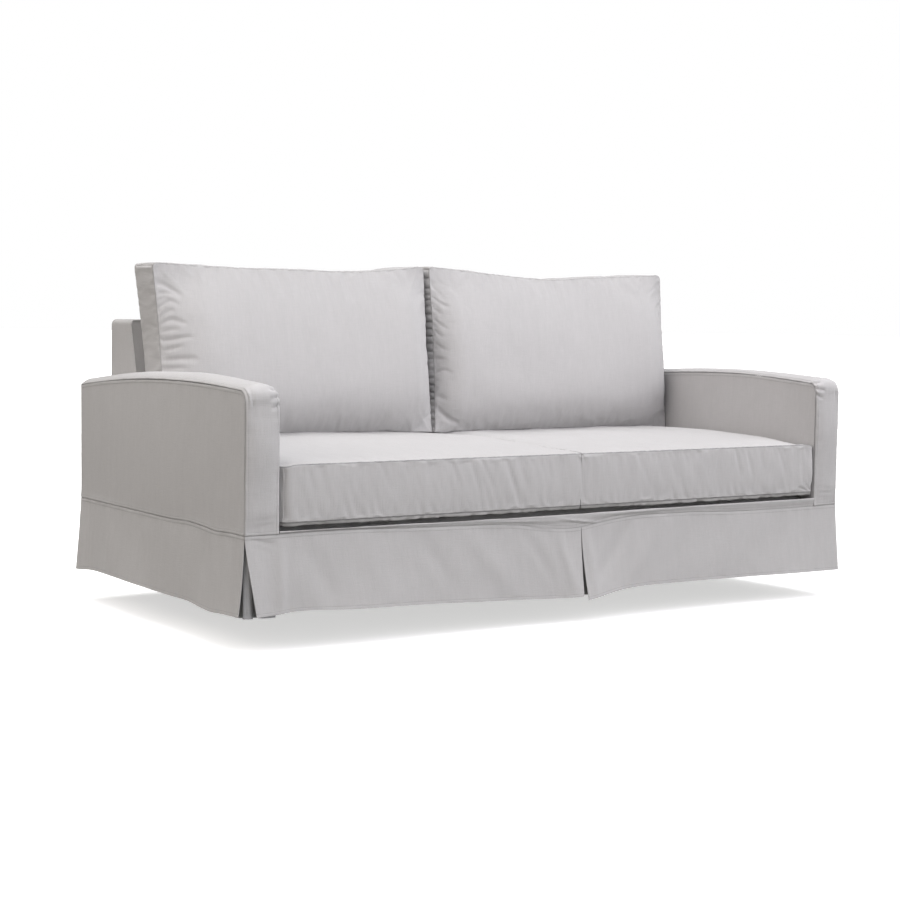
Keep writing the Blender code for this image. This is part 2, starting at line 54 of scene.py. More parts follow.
# The arm's dome is ARM_TOP high at ARM_TOP_Y, and falls with the square of the distance
# from there, ARM_FALL times.  Its inner edge is higher, growing over ARM_LIFT_EASE.
ARM_TOP, ARM_TOP_Y, ARM_FALL = 0.632, 0.36, 0.09
ARM_CORNER = 0.030                         # radius of its top front corner
ARM_INNER_LIFT, ARM_LIFT_EASE = 0.007, 0.30
ARM_CROWN_TOP, ARM_CROWN_FRONT, ARM_CORNER_SWELL = 0.014, 0.005, 0.004
ARM_FRONT_BULGE = ((0.007, 0.485, 0.085),)      # height, place above the floor, width
ARM_ARCH_POWER = 3.0                       # of the padding's arch across the arm
ARM_BELLY = 0.004
DECK_TOP = 0.2975
RAIL_LAP = 0.030                           # the front strip reaches this far over the seat
DECK_TROUGH, DECK_EASE = 0.008, 0.055      # the deck's fall behind its front edge
FRONT_SAG, FRONT_SAG_BELL = 0.0070, ((0.0030, -0.15, 0.40),)    # height, place, width
BACK_TOP, BACK_CORNER = 0.777, 0.014
INSIDE_TOP_Y, INSIDE_RAKE = 0.858, 0.28
SKIRT_SEAM, SKIRT_DROP, SKIRT_FLARE = 0.283, 0.190, 0.012
FLARE_POWER = 1.25
SIDE_SEAM_BELLS = ((0.0040, 0.30, 0.075), (-0.0035, 0.15, 0.050))   # height, place, width
PLEAT_X = 0.0265                           # the pleat in the middle of the front
PLEAT_OPEN_LEFT, PLEAT_OPEN_RIGHT, PLEAT_OPEN_CENTRE = 0.026, -0.004, 0.012
PLEAT_OPEN_SIDE, PLEAT_OPEN_BACK, PLEAT_DIP = 0.006, 0.009, 0.010
UNDERLAY_REACH, UNDERLAY_DENT = 0.080, 0.010
UNDERLAY_LONGER, UNDERLAY_SHORTER, UNDERLAY_BEND = 0.006, 0.008, 0.012
KICK_REACH = 0.070

CLOTH = 0.0016             # thickness of the shown cloth
SOLID_CLOTH = 0.002        # thickness of its solid
GAP = 0.0003               # between neighbouring panels
SETBACK = SOLID_CLOTH + GAP
FLOOR = SOLID_CLOTH - DECK_TOP             # the floor's height in the frame
ORIGIN = np.array((0.0, -DEPTH / 2, FLOOR))

# Front of the skirt: x, seam height, and how much shorter the skirt is than SKIRT_DROP.
FRONT_EDGE = np.array(((-0.960, 0.283, 0.000),
                       (-0.900, 0.283, 0.000),
                       (-0.830, 0.284, 0.004),
                       (-0.680, 0.284, -0.001),
                       (-0.480, 0.278, 0.000),
                       (-0.220, 0.271, -0.003),
                       (0.025, 0.2525, 0.008),
                       (0.090, 0.262, 0.001),
                       (0.170, 0.271, 0.000),
                       (0.350, 0.274, 0.000),
                       (0.600, 0.267, 0.005),
                       (0.960, 0.268, 0.001)))

# Seat cushions.  Drag lines on the boxing: run from the front left corner and depth
# below the upper seam, at both ends, then width and height.  A row of SEATS is the word,
# the left and right ends, the top's swell, the side of the free end, the drag lines and
# the seed.
SEAT_FRONT, SEAT_BACK = -0.005, 0.716
SEAT_SEAM_TOP, SEAT_SEAM_LOW = 0.4455, 0.3095
SEAT_ROLL, SEAT_RISE, SEAT_SIDE_SWELL = 0.006, 0.0155, 0.003
SEAT_CORNER = {-1: 0.026, 1: 0.016}        # radius of the free corners, left and right
SEAT_SLIT = 0.2998         # underside beside its edge, a little above the deck
SEAT_FOOT_ROLL, SEAT_FOOT_POWER = 0.012, 3.5    # its underside's rounded rim
SEAT_DROOP = 0.005         # of the free front corner
PRESSED_FALL = 0.40        # the seats' tops fall this share where they press together
PRESSED_IN = 0.0008        # and stand back this far from the join
MIDDLE = 0.0205            # where the seats meet
LEFT_DRAGS = ((0.060, 0.004, 0.085, 0.070, 0.008, -0.0012),
              (0.150, 0.006, 0.160, 0.050, 0.007, -0.0010),
              (0.265, 0.004, 0.290, 0.075, 0.008, -0.0014),
              (0.345, 0.010, 0.360, 0.090, 0.010, -0.0012),
              (0.470, 0.004, 0.500, 0.080, 0.007, -0.0020),
              (0.525, 0.004, 0.560, 0.100, 0.008, -0.0024),
              (0.560, 0.004, 0.600, 0.085, 0.007, -0.0022),
              (0.635, 0.004, 0.675, 0.105, 0.008, -0.0026),
              (0.672, 0.004, 0.705, 0.080, 0.007, -0.0020),
              (0.760, 0.004, 0.785, 0.070, 0.007, -0.0014),
              (0.130, 0.134, 0.150, 0.095, 0.008, -0.0012),
              (0.420, 0.134, 0.400, 0.100, 0.008, -0.0010))
RIGHT_DRAGS = ((0.070, 0.004, 0.085, 0.060, 0.007, -0.0012),
               (0.190, 0.004, 0.205, 0.060, 0.007, -0.0014),
               (0.300, 0.004, 0.320, 0.070, 0.007, -0.0018),
               (0.350, 0.004, 0.372, 0.060, 0.007, -0.0014),
               (0.480, 0.004, 0.470, 0.075, 0.007, -0.0020),
               (0.540, 0.004, 0.560, 0.085, 0.007, -0.0022),
               (0.580, 0.004, 0.610, 0.095, 0.007, -0.0024),
               (0.630, 0.004, 0.645, 0.070, 0.007, -0.0018),
               (0.700, 0.004, 0.730, 0.085, 0.007, -0.0020),
               (0.790, 0.010, 0.800, 0.120, 0.006, -0.0022),
               (0.796, 0.104, 0.842, 0.133, 0.0035, -0.0040),
               (0.812, 0.086, 0.845, 0.124, 0.0035, -0.0034),
               (0.780, 0.120, 0.836, 0.136, 0.0035, -0.0034))
SEATS = (("left", -0.8665, 0.0195, 0.008, -1, LEFT_DRAGS, 11),
         ("right", 0.0215, 0.8685, 0.002, 1, RIGHT_DRAGS, 12))

# Back cushions.  Pulled creases of the face: (across, up) at both ends, then width and
# height.  A row of BACKS is the word, the ends, the splay of the ends, the upper edge from
# left to right, the reach of the roll to each seam (left, right, foot, top), the pulled
# creases, the grid's step upwards, the depth of the gathers in the boxing's left end and
# the seed.
BACK_FOOT_Y, BACK_LEAN = 0.6495, 0.118
BACK_THICK_FOOT, BACK_THICK_TOP = 0.092, 0.118
BACK_TALL = 0.46           # along the grid; the real height follows the upper edge
BACK_BELLY, BACK_REAR = 0.064, 0.024
BACK_DRAWN_IN, BACK_PLUMP = 0.006, 0.004
BACK_CORNER_ROUND = 0.016
LEFT_PULLS = ((0.004, 0.440, 0.070, 0.395, 0.010, -0.0050),
              (0.004, 0.408, 0.055, 0.392, 0.006, -0.0030),
              (0.004, 0.372, 0.065, 0.368, 0.007, -0.0034),
              (0.004, 0.345, 0.050, 0.344, 0.006, -0.0028),
              (0.004, 0.322, 0.080, 0.318, 0.007, -0.0034),
              (0.004, 0.296, 0.058, 0.296, 0.006, -0.0028),
              (0.004, 0.268, 0.095, 0.276, 0.007, -0.0036),
              (0.004, 0.242, 0.066, 0.252, 0.006, -0.0030),
              (0.004, 0.214, 0.105, 0.226, 0.008, -0.0036),
              (0.004, 0.190, 0.070, 0.200, 0.006, -0.0028),
              (0.004, 0.165, 0.095, 0.168, 0.007, -0.0034),
              (0.004, 0.130, 0.080, 0.128, 0.007, -0.0030),
              (0.004, 0.095, 0.070, 0.088, 0.007, -0.0028))
RIGHT_PULLS = ((0.004, 0.420, 0.040, 0.415, 0.006, -0.0022),
               (0.004, 0.385, 0.055, 0.384, 0.006, -0.0024),
               (0.004, 0.350, 0.038, 0.350, 0.006, -0.0022),
               (0.004, 0.318, 0.050, 0.314, 0.006, -0.0024),
               (0.004, 0.285, 0.036, 0.284, 0.006, -0.0020),
               (0.004, 0.250, 0.048, 0.248, 0.006, -0.0024),
               (0.004, 0.215, 0.040, 0.214, 0.006, -0.0020),
               (0.004, 0.180, 0.060, 0.176, 0.006, -0.0024),
               (0.004, 0.110, 0.040, 0.106, 0.006, -0.0020),
               (0.006, 0.075, 0.075, 0.030, 0.009, -0.0044))
BACKS = (("left", -0.8670, -0.0180, -0.011, -0.001,
          (0.930, 0.9235, 0.9205, 0.920, 0.9185, 0.925, 0.941),
          (0.150, 0.080, 0.160, 0.300), LEFT_PULLS, 0.0045, 0.0, 21),
         ("right", -0.0135, 0.8670, 0.006, 0.011,
          (0.941, 0.930, 0.919, 0.912, 0.921, 0.928, 0.937),
          (0.080, 0.080, 0.160, 0.300), RIGHT_PULLS, 0.0040, 0.0070, 22))

# Sewing
SEAM_LINES = np.array((0.0, 0.001, 0.0022, 0.0036, 0.005, 0.0062, 0.0075, 0.0095, 0.0125,
                       0.017, 0.023))      # grid lines beside a seam
SEAM_DIP, SEAM_DIP_REACH = 0.0010, 0.0012
SEAM_TURNED, SEAM_TURNED_WIDTH, SEAM_TURNED_EASE = 0.0006, 0.007, 0.005
HEM_TURNED, HEM_TURNED_EASE = 0.0004, 0.004
STITCH_IN, STITCH_DIP, STITCH_WIDTH = 0.008, 0.0005, 0.0012     # topstitching
PUCKER_REACH = 0.008
SEAM_RIDGES = ((0.6, 0.0085, 0.030), (0.6, 0.023, 0.050))       # share, along, away
HEM_RIDGES, HEM_RIDGE_PLACE = ((1.0, 0.016, 0.03),), 0.006
FAR_FROM_SEAM = 0.5        # written to the points that no seam or hem is near
SEAM_PAINTED_SHADE, HEM_PAINTED_SHADE = 0.4, 0.0          # darkness of the painted shade in a seam's crease, and at a hem

# Settling of the cushions by a cloth simulation: frames, rounds of evening out, share of
# the fine wrinkles kept far from a seam, and the stretch beside a seam that is held.  The
# cloth is EXTRA_CLOTH larger than the cushion, as a share of its lengths.
SETTLE_FRAMES, EVEN_ROUNDS, WRINKLES_KEPT, HELD_BESIDE = 8, 90, 0.1, 0.02
EXTRA_CLOTH = 0.010
SEAT_SETTLING = (0.5, 0.006, 0.035)        # pressure, most movement, reach of the wrinkles
BACK_SETTLING = (0.8, 0.012, 0.060)

# Cloth.  A row of GRAINS is its changes per metre across and along, its detail and its
# share of the brightness: threads lengthwise, threads across, slubs, mottle.
CLOTH_COLOUR = (0.455, 0.449, 0.449)
# the pleats' underlay: the cover's cloth coloured darker, as painted shade inside the pleats
UNDERLAY_SHADED_COLOUR = (0.400, 0.404, 0.420)
ROUGHNESS, GLOSS, FUZZ, FUZZ_ROUGHNESS = 0.90, 0.25, 0.12, 0.45
GRAINS = (((420.0, 26.0, 1.0), 2.0, 0.13),
          ((26.0, 420.0, 1.0), 2.0, 0.09),
          ((60.0, 5.0, 1.0), 2.0, 0.07),
          ((9.0, 9.0, 1.0), 3.0, 0.05))
GRAIN_ROUGHNESS = 0.55
THREAD_HALF, DASHES_PER_METRE, DASH_SHARE = 0.0006, 310.0, 0.72
THREAD_DARK, THREAD_LIFT = 0.28, 1.2
SEAM_SHADE_FADE, SEAM_SHADE_DARKNESS = 330.0, 0.60    # painted shade along a seam: its fall per metre from the seam, and its darkness at the seam
WEAVE_PER_METRE, WEAVE_LIFT, WEAVE_WANDER = 220.0, 0.5, 0.6
LIFT_STRENGTH, LIFT_DISTANCE = 0.55, 0.0006


# ---------------------------------------------------------------- small tools
def smooth_table(x, xs, ys):
    """Curve through a table's rows: cubic pieces that meet with the same slope, which at
    each row is that of its neighbours."""
    xs, ys = np.asarray(xs, float), np.asarray(ys, float)
    slope = np.gradient(ys, xs)
    x = np.clip(x, xs[0], xs[-1])
    i = np.clip(np.searchsorted(xs, x) - 1, 0, len(xs) - 2)
    span = xs[i + 1] - xs[i]
    t = (x - xs[i]) / span
    rise = 3 * t ** 2 - 2 * t ** 3
    lead = (t ** 3 - 2 * t ** 2 + t) * span * slope[i]
    trail = (t ** 3 - t ** 2) * span * slope[i + 1]
    return ys[i] + (ys[i + 1] - ys[i]) * rise + lead + trail


def smooth_step(t):
    """From 0 at t = 0 to 1 at t = 1 with level ends: 3 t squared - 2 t cubed."""
    t = np.clip(t, 0.0, 1.0)
    return t * t * (3 - 2 * t)


def noise(u, v, seed):
    """Soft unevenness from -1 to 1: random heights at whole numbers of u and v, joined
    by a smooth step in both directions."""
    size = 97
    heights = np.random.default_rng(seed).uniform(-1, 1, (size, size))
    u, v = np.broadcast_arrays(u, v)
    i, j = np.floor(u).astype(int), np.floor(v).astype(int)
    s, t = smooth_step(u - i), smooth_step(v - j)
    i, j, k, m = i % size, j % size, (i + 1) % size, (j + 1) % size
    low = heights[i, j] * (1 - s) + heights[k, j] * s
    high = heights[i, m] * (1 - s) + heights[k, m] * s
    return low * (1 - t) + high * t


def uneven(u, v, rows, seed):
    """Soft unevenness of cloth: over rows of (height, reach in u, reach in v) the sum of
    height * noise(u / its reach, v / its reach), each row with the next seed."""
    return sum(height * noise(u / u_reach, v / v_reach, seed + number)
               for number, (height, u_reach, v_reach) in enumerate(rows))


def bump(x, centre, width):
    """A bell of height 1: exp of minus the square of (x - centre) / width."""
    return np.exp(-((x - centre) / width) ** 2)


def bells(x, rows):
    """The sum of bells over rows of (height, centre, width)."""
    return sum(height * bump(x, centre, width) for height, centre, width in rows)


def waves(x, rows):
    """The sum of sine waves over rows of (height, turning per metre, shift)."""
    return sum(height * np.sin(rate * x + shift) for height, rate, shift in rows)


def creases(u, v, rows):
    """Soft troughs along straight lines, each row (u0, v0, u1, v1, width, height).  With
    q the distance from the line in widths, the height is a bell with a lower lip on each
    side, exp(-q squared) (1 - 0.6 q squared), times a half sine to the power 0.7 along
    the line, which is nothing at both ends."""
    total = np.zeros(np.broadcast(u, v).shape)
    for u0, v0, u1, v1, width, height in rows:
        length = math.hypot(u1 - u0, v1 - v0)
        du, dv = (u1 - u0) / length, (v1 - v0) / length
        along = ((u - u0) * du + (v - v0) * dv) / length
        across = ((v - v0) * du - (u - u0) * dv) / width
        fade = np.sin(math.pi * np.clip(along, 0, 1)) ** 0.7
        total += height * fade * np.exp(-across ** 2) * (1 - 0.6 * across ** 2)
    return total


def spread(length, step, first=SEAM_LINES, last=SEAM_LINES):
    """Places from 0 to length: first beside the start, last mirrored beside the end, and
    about a step apart between them."""
    count = max(2, int(round((length - first[-1] - last[-1]) / step)))
    middle = np.linspace(first[-1], length - last[-1], count + 1)[1:-1]
    return np.concatenate((first, middle, length - last[::-1]))


def fit_rows(low, high, places):
    """Carry places (0 to their last) into each column between low and high: low + place
    + the column's stretch * a smooth step, so the distances beside both ends are kept."""
    span = places[-1]
    stretch = (high - low)[None, :] - span
    share = smooth_step((places - SEAM_LINES[-1]) / (span - 2 * SEAM_LINES[-1]))
    return low[None, :] + places[:, None] + stretch * share[:, None]


def place(points):
    """From the front's middle on the floor into the frame: a shift by ORIGIN."""
    return points + ORIGIN


def xyz(x, y, z):
    """One grid of points from three coordinates."""
    return np.stack(np.broadcast_arrays(x, y, z), axis=2)


# ---------------------------------------------------------------- shared outlines
def front_seam(x):
    """Height of the front skirt's seam: the curve through FRONT_EDGE."""
    return smooth_table(x, FRONT_EDGE[:, 0], FRONT_EDGE[:, 1])


def front_hem(x):
    """Height of the front hem: the seam less SKIRT_DROP, plus FRONT_EDGE's last column."""
    return front_seam(x) - SKIRT_DROP + smooth_table(x, FRONT_EDGE[:, 0], FRONT_EDGE[:, 2])


def side_seam(side, y):
    """Height of a side's skirt seam: a straight line from the front corner to the back
    one, with two bells, one up and one down, near the front."""
    start = front_seam(side * HALF)
    line = start + (SKIRT_SEAM - start) * np.clip(y / DEPTH, 0, 1)
    return line + bells(y, SIDE_SEAM_BELLS)


def arm_outline(offset, step):
    """The arm's side outline, drawn in by offset, from the front to the back: a quarter
    circle, then ARM_TOP less ARM_FALL times the square of the distance from ARM_TOP_Y."""
    upright_top = ARM_TOP - ARM_FALL * (ARM_CORNER - ARM_TOP_Y) ** 2 - ARM_CORNER
    turn = np.linspace(0, math.pi / 2, 13)
    radius = ARM_CORNER - offset
    y_turn = ARM_CORNER - radius * np.cos(turn)
    z_turn = upright_top + radius * np.sin(turn)
    count = int(round((DEPTH - SETBACK - ARM_CORNER) / step))
    y_top = np.linspace(ARM_CORNER, DEPTH - SETBACK, count + 1)[1:]
    z_top = ARM_TOP - offset - ARM_FALL * (y_top - ARM_TOP_Y) ** 2
    return np.concatenate((y_turn, y_top)), np.concatenate((z_turn, z_top))


def inner_lift(y):
    """How much higher the arm's inner edge is: a smooth step behind the front corner."""
    return ARM_INNER_LIFT * smooth_step((y - ARM_CORNER) / ARM_LIFT_EASE)


def inside_back_y(z):
    """The raked inside back: a straight line that leans back by INSIDE_RAKE."""
    return INSIDE_TOP_Y - INSIDE_RAKE * (BACK_TOP - z)


def front_sag(x):
    """How far the seat's front edge sags: FRONT_SAG, and more by a bell at its middle."""
    return FRONT_SAG + bells(x, FRONT_SAG_BELL)


def deck_drop(x, y):
    """How far the deck lies below its level part: front_sag + DECK_TROUGH behind the
    seat's front edge, fading as 1 - smooth_step over the next DECK_EASE."""
    return (front_sag(x) + DECK_TROUGH) * (1 - smooth_step((y - RAIL_LAP) / DECK_EASE))


def crown(t, power):
    """A flat-topped arch over t from 0 to 1: 1 - |2t - 1| to the power."""
    return 1 - np.abs(2 * t - 1) ** power


def flare(v):
    """How the skirt spreads from its seam, v = 0, to its hem, v = 1: a power of v."""
    return v ** FLARE_POWER


# ---------------------------------------------------------------- cloth finish
def add_node(tree, kind, x, y, **settings):
    """A node at (x, y) of the material's drawing, with its settings."""
    node = tree.nodes.new(kind)
    node.location = (x, y)
    for key, value in settings.items():
        setattr(node, key, value)
    return node


def cotton(name, colour, topstitched):
    """Plain-woven cotton: threads and slubs along both ways of the cloth, a faint mottle,
    painted shade along the seam's crease, sewing threads beside it where it is topstitched,
    a matt surface with a little fuzz.  The pattern reads the piece's own attributes: cloth
    (metres across and along) and sewn (metres from the seam, metres along it, and how
    dark the painted seam shade is).  Brightness = 1 + the sum of share * (grain - 0.5), less
    the threads' darkness and the painted seam shade."""
    material = bpy.data.materials.new(name)
    material.use_nodes = True
    tree = material.node_tree
    tree.nodes.clear()
    link = tree.links.new
    out = add_node(tree, "ShaderNodeOutputMaterial", 1500, 0)
    shader = add_node(tree, "ShaderNodeBsdfPrincipled", 1200, 0)
    for socket, value in (("Roughness", ROUGHNESS), ("Specular IOR Level", GLOSS),
                          ("Sheen Weight", FUZZ), ("Sheen Roughness", FUZZ_ROUGHNESS)):
        shader.inputs[socket].default_value = value
    link(shader.outputs[0], out.inputs[0])

    cloth = add_node(tree, "ShaderNodeAttribute", -1500, 0, attribute_name="cloth")
    sewn = add_node(tree, "ShaderNodeAttribute", -1500, -700, attribute_name="sewn")

    def scaled(x, y, scale):
        """The cloth's own places times scale."""
        mapping = add_node(tree, "ShaderNodeMapping", x, y)
        mapping.inputs["Scale"].default_value = scale
        link(cloth.outputs["Vector"], mapping.inputs["Vector"])
        return mapping

    def grain(x, y, scale, detail):
        """Soft random noise, from 0 to 1, over the scaled places."""
        texture = add_node(tree, "ShaderNodeTexNoise", x, y)
        texture.inputs["Scale"].default_value = 1.0
        texture.inputs["Detail"].default_value = detail
        texture.inputs["Roughness"].default_value = GRAIN_ROUGHNESS
        link(scaled(x - 220, y, scale).outputs[0], texture.inputs["Vector"])
        return texture.outputs["Fac"]

    def math_node(kind, x, y, *values):
        """One step of arithmetic on numbers or on other nodes' outputs."""
        node = add_node(tree, "ShaderNodeMath", x, y, operation=kind)
        for i, value in enumerate(values):
            if isinstance(value, (int, float)):
                node.inputs[i].default_value = value
            else:
                link(value, node.inputs[i])
        return node.outputs[0]

    # brightness: 1 plus a share of each grain
    grains = [grain(-1000, 600 - 200 * number, scale, detail)
              for number, (scale, detail, _) in enumerate(GRAINS)]
    level = 1 - sum(share for _, _, share in GRAINS) / 2
    for number, (texture, (_, _, share)) in enumerate(zip(grains, GRAINS)):
        level = math_node("MULTIPLY_ADD", 200 * number - 700, 600 - 100 * number, texture,
                          share, level)

    # sewing thread: dashes in a narrow line beside the seam
    parts = add_node(tree, "ShaderNodeSeparateXYZ", -1250, -700)
    link(sewn.outputs["Vector"], parts.inputs[0])
    off_line = math_node("ABSOLUTE", -900, -700, math_node(
        "SUBTRACT", -1050, -700, parts.outputs[0], STITCH_IN))
    line = math_node("LESS_THAN", -750, -700, off_line, THREAD_HALF)
    dash = math_node("LESS_THAN", -750, -900, math_node("FRACT", -900, -900, math_node(
        "MULTIPLY", -1050, -900, parts.outputs[1], DASHES_PER_METRE)), DASH_SHARE)
    thread = math_node("MULTIPLY", -550, -800, line, dash)
    if topstitched:
        level = math_node("MULTIPLY_ADD", 100, 200, thread, -THREAD_DARK, level)

    # painted shade along the seam's crease, darkest at the seam
    near = math_node("MAXIMUM", -750, -1100, math_node(
        "MULTIPLY_ADD", -900, -1100, parts.outputs[0], -SEAM_SHADE_FADE, 1.0), 0.0)
    seam_shade = math_node("MULTIPLY", -550, -1000, near, parts.outputs[2])
    level = math_node("MULTIPLY_ADD", 250, 200, seam_shade, -SEAM_SHADE_DARKNESS, level)

    shade = add_node(tree, "ShaderNodeMix", 400, 200, data_type="RGBA", blend_type="MULTIPLY")
    shade.inputs[0].default_value = 1.0
    shade.inputs[6].default_value = (*colour, 1.0)
    link(level, shade.inputs[7])
    link(shade.outputs[2], shader.inputs["Base Color"])

    # weave: over and under threads, then slubs, then the sewing thread
    weave_x = add_node(tree, "ShaderNodeTexWave", -1000, -200, bands_direction="X")
    weave_y = add_node(tree, "ShaderNodeTexWave", -1000, -450, bands_direction="Y")
    for texture, y in ((weave_x, -200), (weave_y, -450)):
        texture.inputs["Scale"].default_value = 1.0
        texture.inputs["Distortion"].default_value = WEAVE_WANDER
        texture.inputs["Detail"].default_value = 1.0
        link(scaled(-1220, y, (WEAVE_PER_METRE, WEAVE_PER_METRE, 1.0)).outputs[0],
             texture.inputs["Vector"])
    weave = math_node("MULTIPLY", -700, -300, weave_x.outputs["Fac"], weave_y.outputs["Fac"])
    height = math_node("MULTIPLY_ADD", -400, -300, weave, WEAVE_LIFT, math_node(
        "ADD", -550, -350, grains[0], grains[1]))
    if topstitched:
        height = math_node("MULTIPLY_ADD", -200, -350, thread, THREAD_LIFT, height)
    lift = add_node(tree, "ShaderNodeBump", 800, -300)
    lift.inputs["Strength"].default_value = LIFT_STRENGTH
    lift.inputs["Distance"].default_value = LIFT_DISTANCE
    link(height, lift.inputs["Height"])
    link(lift.outputs[0], shader.inputs["Normal"])
    return material


# ---------------------------------------------------------------- meshes
def make_piece(name, points, faces, cloth, sewn, material, smooth_angle=50):
    """Put whole arrays of points, four-cornered faces and attributes into a mesh, and
    crease its shading where faces meet at more than smooth_angle degrees."""
    mesh = bpy.data.meshes.new(name)
    mesh.vertices.add(len(points))
    mesh.vertices.foreach_set("co", place(points).astype(np.float32).ravel())
    mesh.loops.add(faces.size)
    mesh.loops.foreach_set("vertex_index", faces.astype(np.int32).ravel())
    mesh.polygons.add(len(faces))
    mesh.polygons.foreach_set("loop_start", np.arange(0, faces.size, 4, dtype=np.int32))
    mesh.update(calc_edges=True)
    for label, values in (("cloth", cloth), ("sewn", sewn)):
        filled = np.zeros((len(points), 3), dtype=np.float32)
        filled[:, :values.shape[1]] = values
        attribute = mesh.attributes.new(label, "FLOAT_VECTOR", "POINT")
        attribute.data.foreach_set("vector", filled.ravel())
    mesh.materials.append(material)
    mesh.shade_smooth()
    mesh.set_sharp_from_angle(angle=math.radians(smooth_angle))
    piece = bpy.data.objects.new(name, mesh)
    bpy.context.scene.collection.objects.link(piece)
    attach(piece, "root")
    return piece


def grid_faces(index):
    """Four-cornered faces of a grid of point numbers: each point, its neighbour in the
    row, the one diagonally on, and the one in the next row."""
    return np.stack((index[:-1, :-1], index[:-1, 1:], index[1:, 1:], index[1:, :-1]),
                    axis=-1).reshape(-1, 4)


def grid_rim(index):
    """Point numbers round a grid: first row, last column, last row back, first column
    back."""
    return np.concatenate((index[0, :-1], index[:-1, -1], index[-1, :0:-1], index[:0:-1, 0]))


def grid_normals(face):
    """Unit normals of a grid: the cross product of its steps across and along."""
    normal = np.cross(np.gradient(face, axis=1), np.gradient(face, axis=0))
    return normal / np.linalg.norm(normal, axis=2, keepdims=True)


def arcs(face):
    """Distances over a grid, as running sums of its steps: from its first column, and
    from its first row."""
    across = np.linalg.norm(np.diff(face, axis=1, prepend=face[:, :1]), axis=2).cumsum(axis=1)
    along = np.linalg.norm(np.diff(face, axis=0, prepend=face[:1]), axis=2).cumsum(axis=0)
    return across, along


def shoulder(away, width, height):
    """A rounded shoulder beside a seam: nothing at the seam, highest at width, then
    fading: height * t * exp(1 - t) with t = away / width."""
    return height * away / width * np.exp(1 - away / width)


def seam_relief(away, run, seed, pucker):
    """Cloth beside a sewn seam: it dips into the seam, fading as exp(-away / reach),
    stands up over the seam's turned edges, ending in a smooth step, dips in a bell along
    the topstitching, and puckers in short ridges square to the seam, a shoulder times
    unevenness along the run."""
    dip = -SEAM_DIP * np.exp(-away / SEAM_DIP_REACH)
    turned = SEAM_TURNED * (1 - smooth_step((away - SEAM_TURNED_WIDTH) / SEAM_TURNED_EASE))
    stitch = -STITCH_DIP * bump(away, STITCH_IN, STITCH_WIDTH)
    ridges = uneven(run, away, SEAM_RIDGES, seed)
    return dip + turned + stitch + shoulder(away, PUCKER_REACH, pucker) * ridges


def soft_seam_relief(away, run, seed, pucker):
    """A seam that shows little: a third of a seam's relief, with its full puckers."""
    return seam_relief(away, run, seed, 3 * pucker) / 3


def hem_relief(away, run, seed, pucker):
    """Cloth beside a hem: doubled up to its line of stitches, ending in a smooth step,
    with a bell's dip along the stitches and slight puckers in a bell inside them."""
    turned = HEM_TURNED * (1 - smooth_step((away - SEAM_TURNED_WIDTH) / HEM_TURNED_EASE))
    stitch = -STITCH_DIP * bump(away, STITCH_IN, STITCH_WIDTH)
    ridges = pucker * uneven(run, away, HEM_RIDGES, seed)
    return turned + stitch + ridges * bump(away, HEM_RIDGE_PLACE, PUCKER_REACH)


EDGE_RELIEFS = {"seam": seam_relief, "soft seam": soft_seam_relief, "hem": hem_relief}


def cloth_piece(name, node, face, inside, edges, relief=None, material=None, *,
                seed):
    """A closed sheet from the grid [row, column, xyz] of its outer face.

    edges holds, for the sides first_column, last_column, first_row and last_row, the kind
    (a key of EDGE_RELIEFS), the height of its puckers and how dark the painted shade along
    its seam is, from 0 to 1.
    relief(across, along) adds to the heights.  The outer side is the grid plus normal *
    height, the inner side lies CLOTH behind it, and a strip joins them round the rim.
    inside is a point that the piece faces away from.
    """
    away_from_inside = (grid_normals(face) * (face - np.asarray(inside))).sum(axis=2).mean()
    across, along = arcs(face)
    sides = {"first_column": (across, along),
             "last_column": (across[:, -1:] - across, along),
             "first_row": (along, across),
             "last_row": (along[-1:] - along, across)}
    height = np.zeros(face.shape[:2])
    sewn_away = np.full(face.shape[:2], FAR_FROM_SEAM)
    sewn_run = np.zeros(face.shape[:2])
    seam_shade_share = np.zeros(face.shape[:2])
    for number, (side, (kind, pucker, *line)) in enumerate(edges.items()):
        away, run = sides[side]
        height += EDGE_RELIEFS[kind](away, run, seed + 7 * number, pucker)
        nearer = away < sewn_away
        sewn_away = np.where(nearer, away, sewn_away)
        sewn_run = np.where(nearer, run, sewn_run)
        # darkness of the painted shade along this edge's seam: as given, else a seam's own,
        # else none
        dark = line[0] if line else SEAM_PAINTED_SHADE if kind == "seam" else HEM_PAINTED_SHADE
        seam_shade_share = np.where(nearer, dark, seam_shade_share)
    if relief is not None:
        height = height + relief(across, along)
    if away_from_inside < 0:
        face, height = face[:, ::-1], height[:, ::-1]
        across, along = across[:, ::-1], along[:, ::-1]
        sewn_away, sewn_run, seam_shade_share = (part[:, ::-1] for part in (sewn_away, sewn_run, seam_shade_share))
    normal = grid_normals(face)
    outer = face + normal * height[..., None]
    inner = outer - normal * CLOTH
    rows, columns = height.shape
    index = np.arange(rows * columns).reshape(rows, columns)
    quads = grid_faces(index)
    rim = grid_rim(index)
    after = np.roll(rim, -1)
    behind = rows * columns
    rim_strip = np.stack((after, rim, rim + behind, after + behind), axis=-1)
    faces = np.concatenate((quads, quads[:, ::-1] + behind, rim_strip))
    points = np.concatenate((outer.reshape(-1, 3), inner.reshape(-1, 3)))
    cloth = np.stack((across, along), axis=-1).reshape(-1, 2)
    sewn = np.stack((sewn_away, sewn_run, seam_shade_share), axis=-1).reshape(-1, 3)
    piece = make_piece(name, points, faces, np.tile(cloth, (2, 1)), np.tile(sewn, (2, 1)),
                       material or COVER)
    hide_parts(node)


COVER = cotton("cover_cotton", CLOTH_COLOUR, True)
CUSHION = cotton("cushion_cotton", CLOTH_COLOUR, False)
# cotton for the pleats' underlay, darkened as painted shade deep in the pleats
SHADED_UNDERLAY = cotton("underlay_cotton_painted_shade", UNDERLAY_SHADED_COLOUR, False)
SEWN = ("seam", 0.0009)


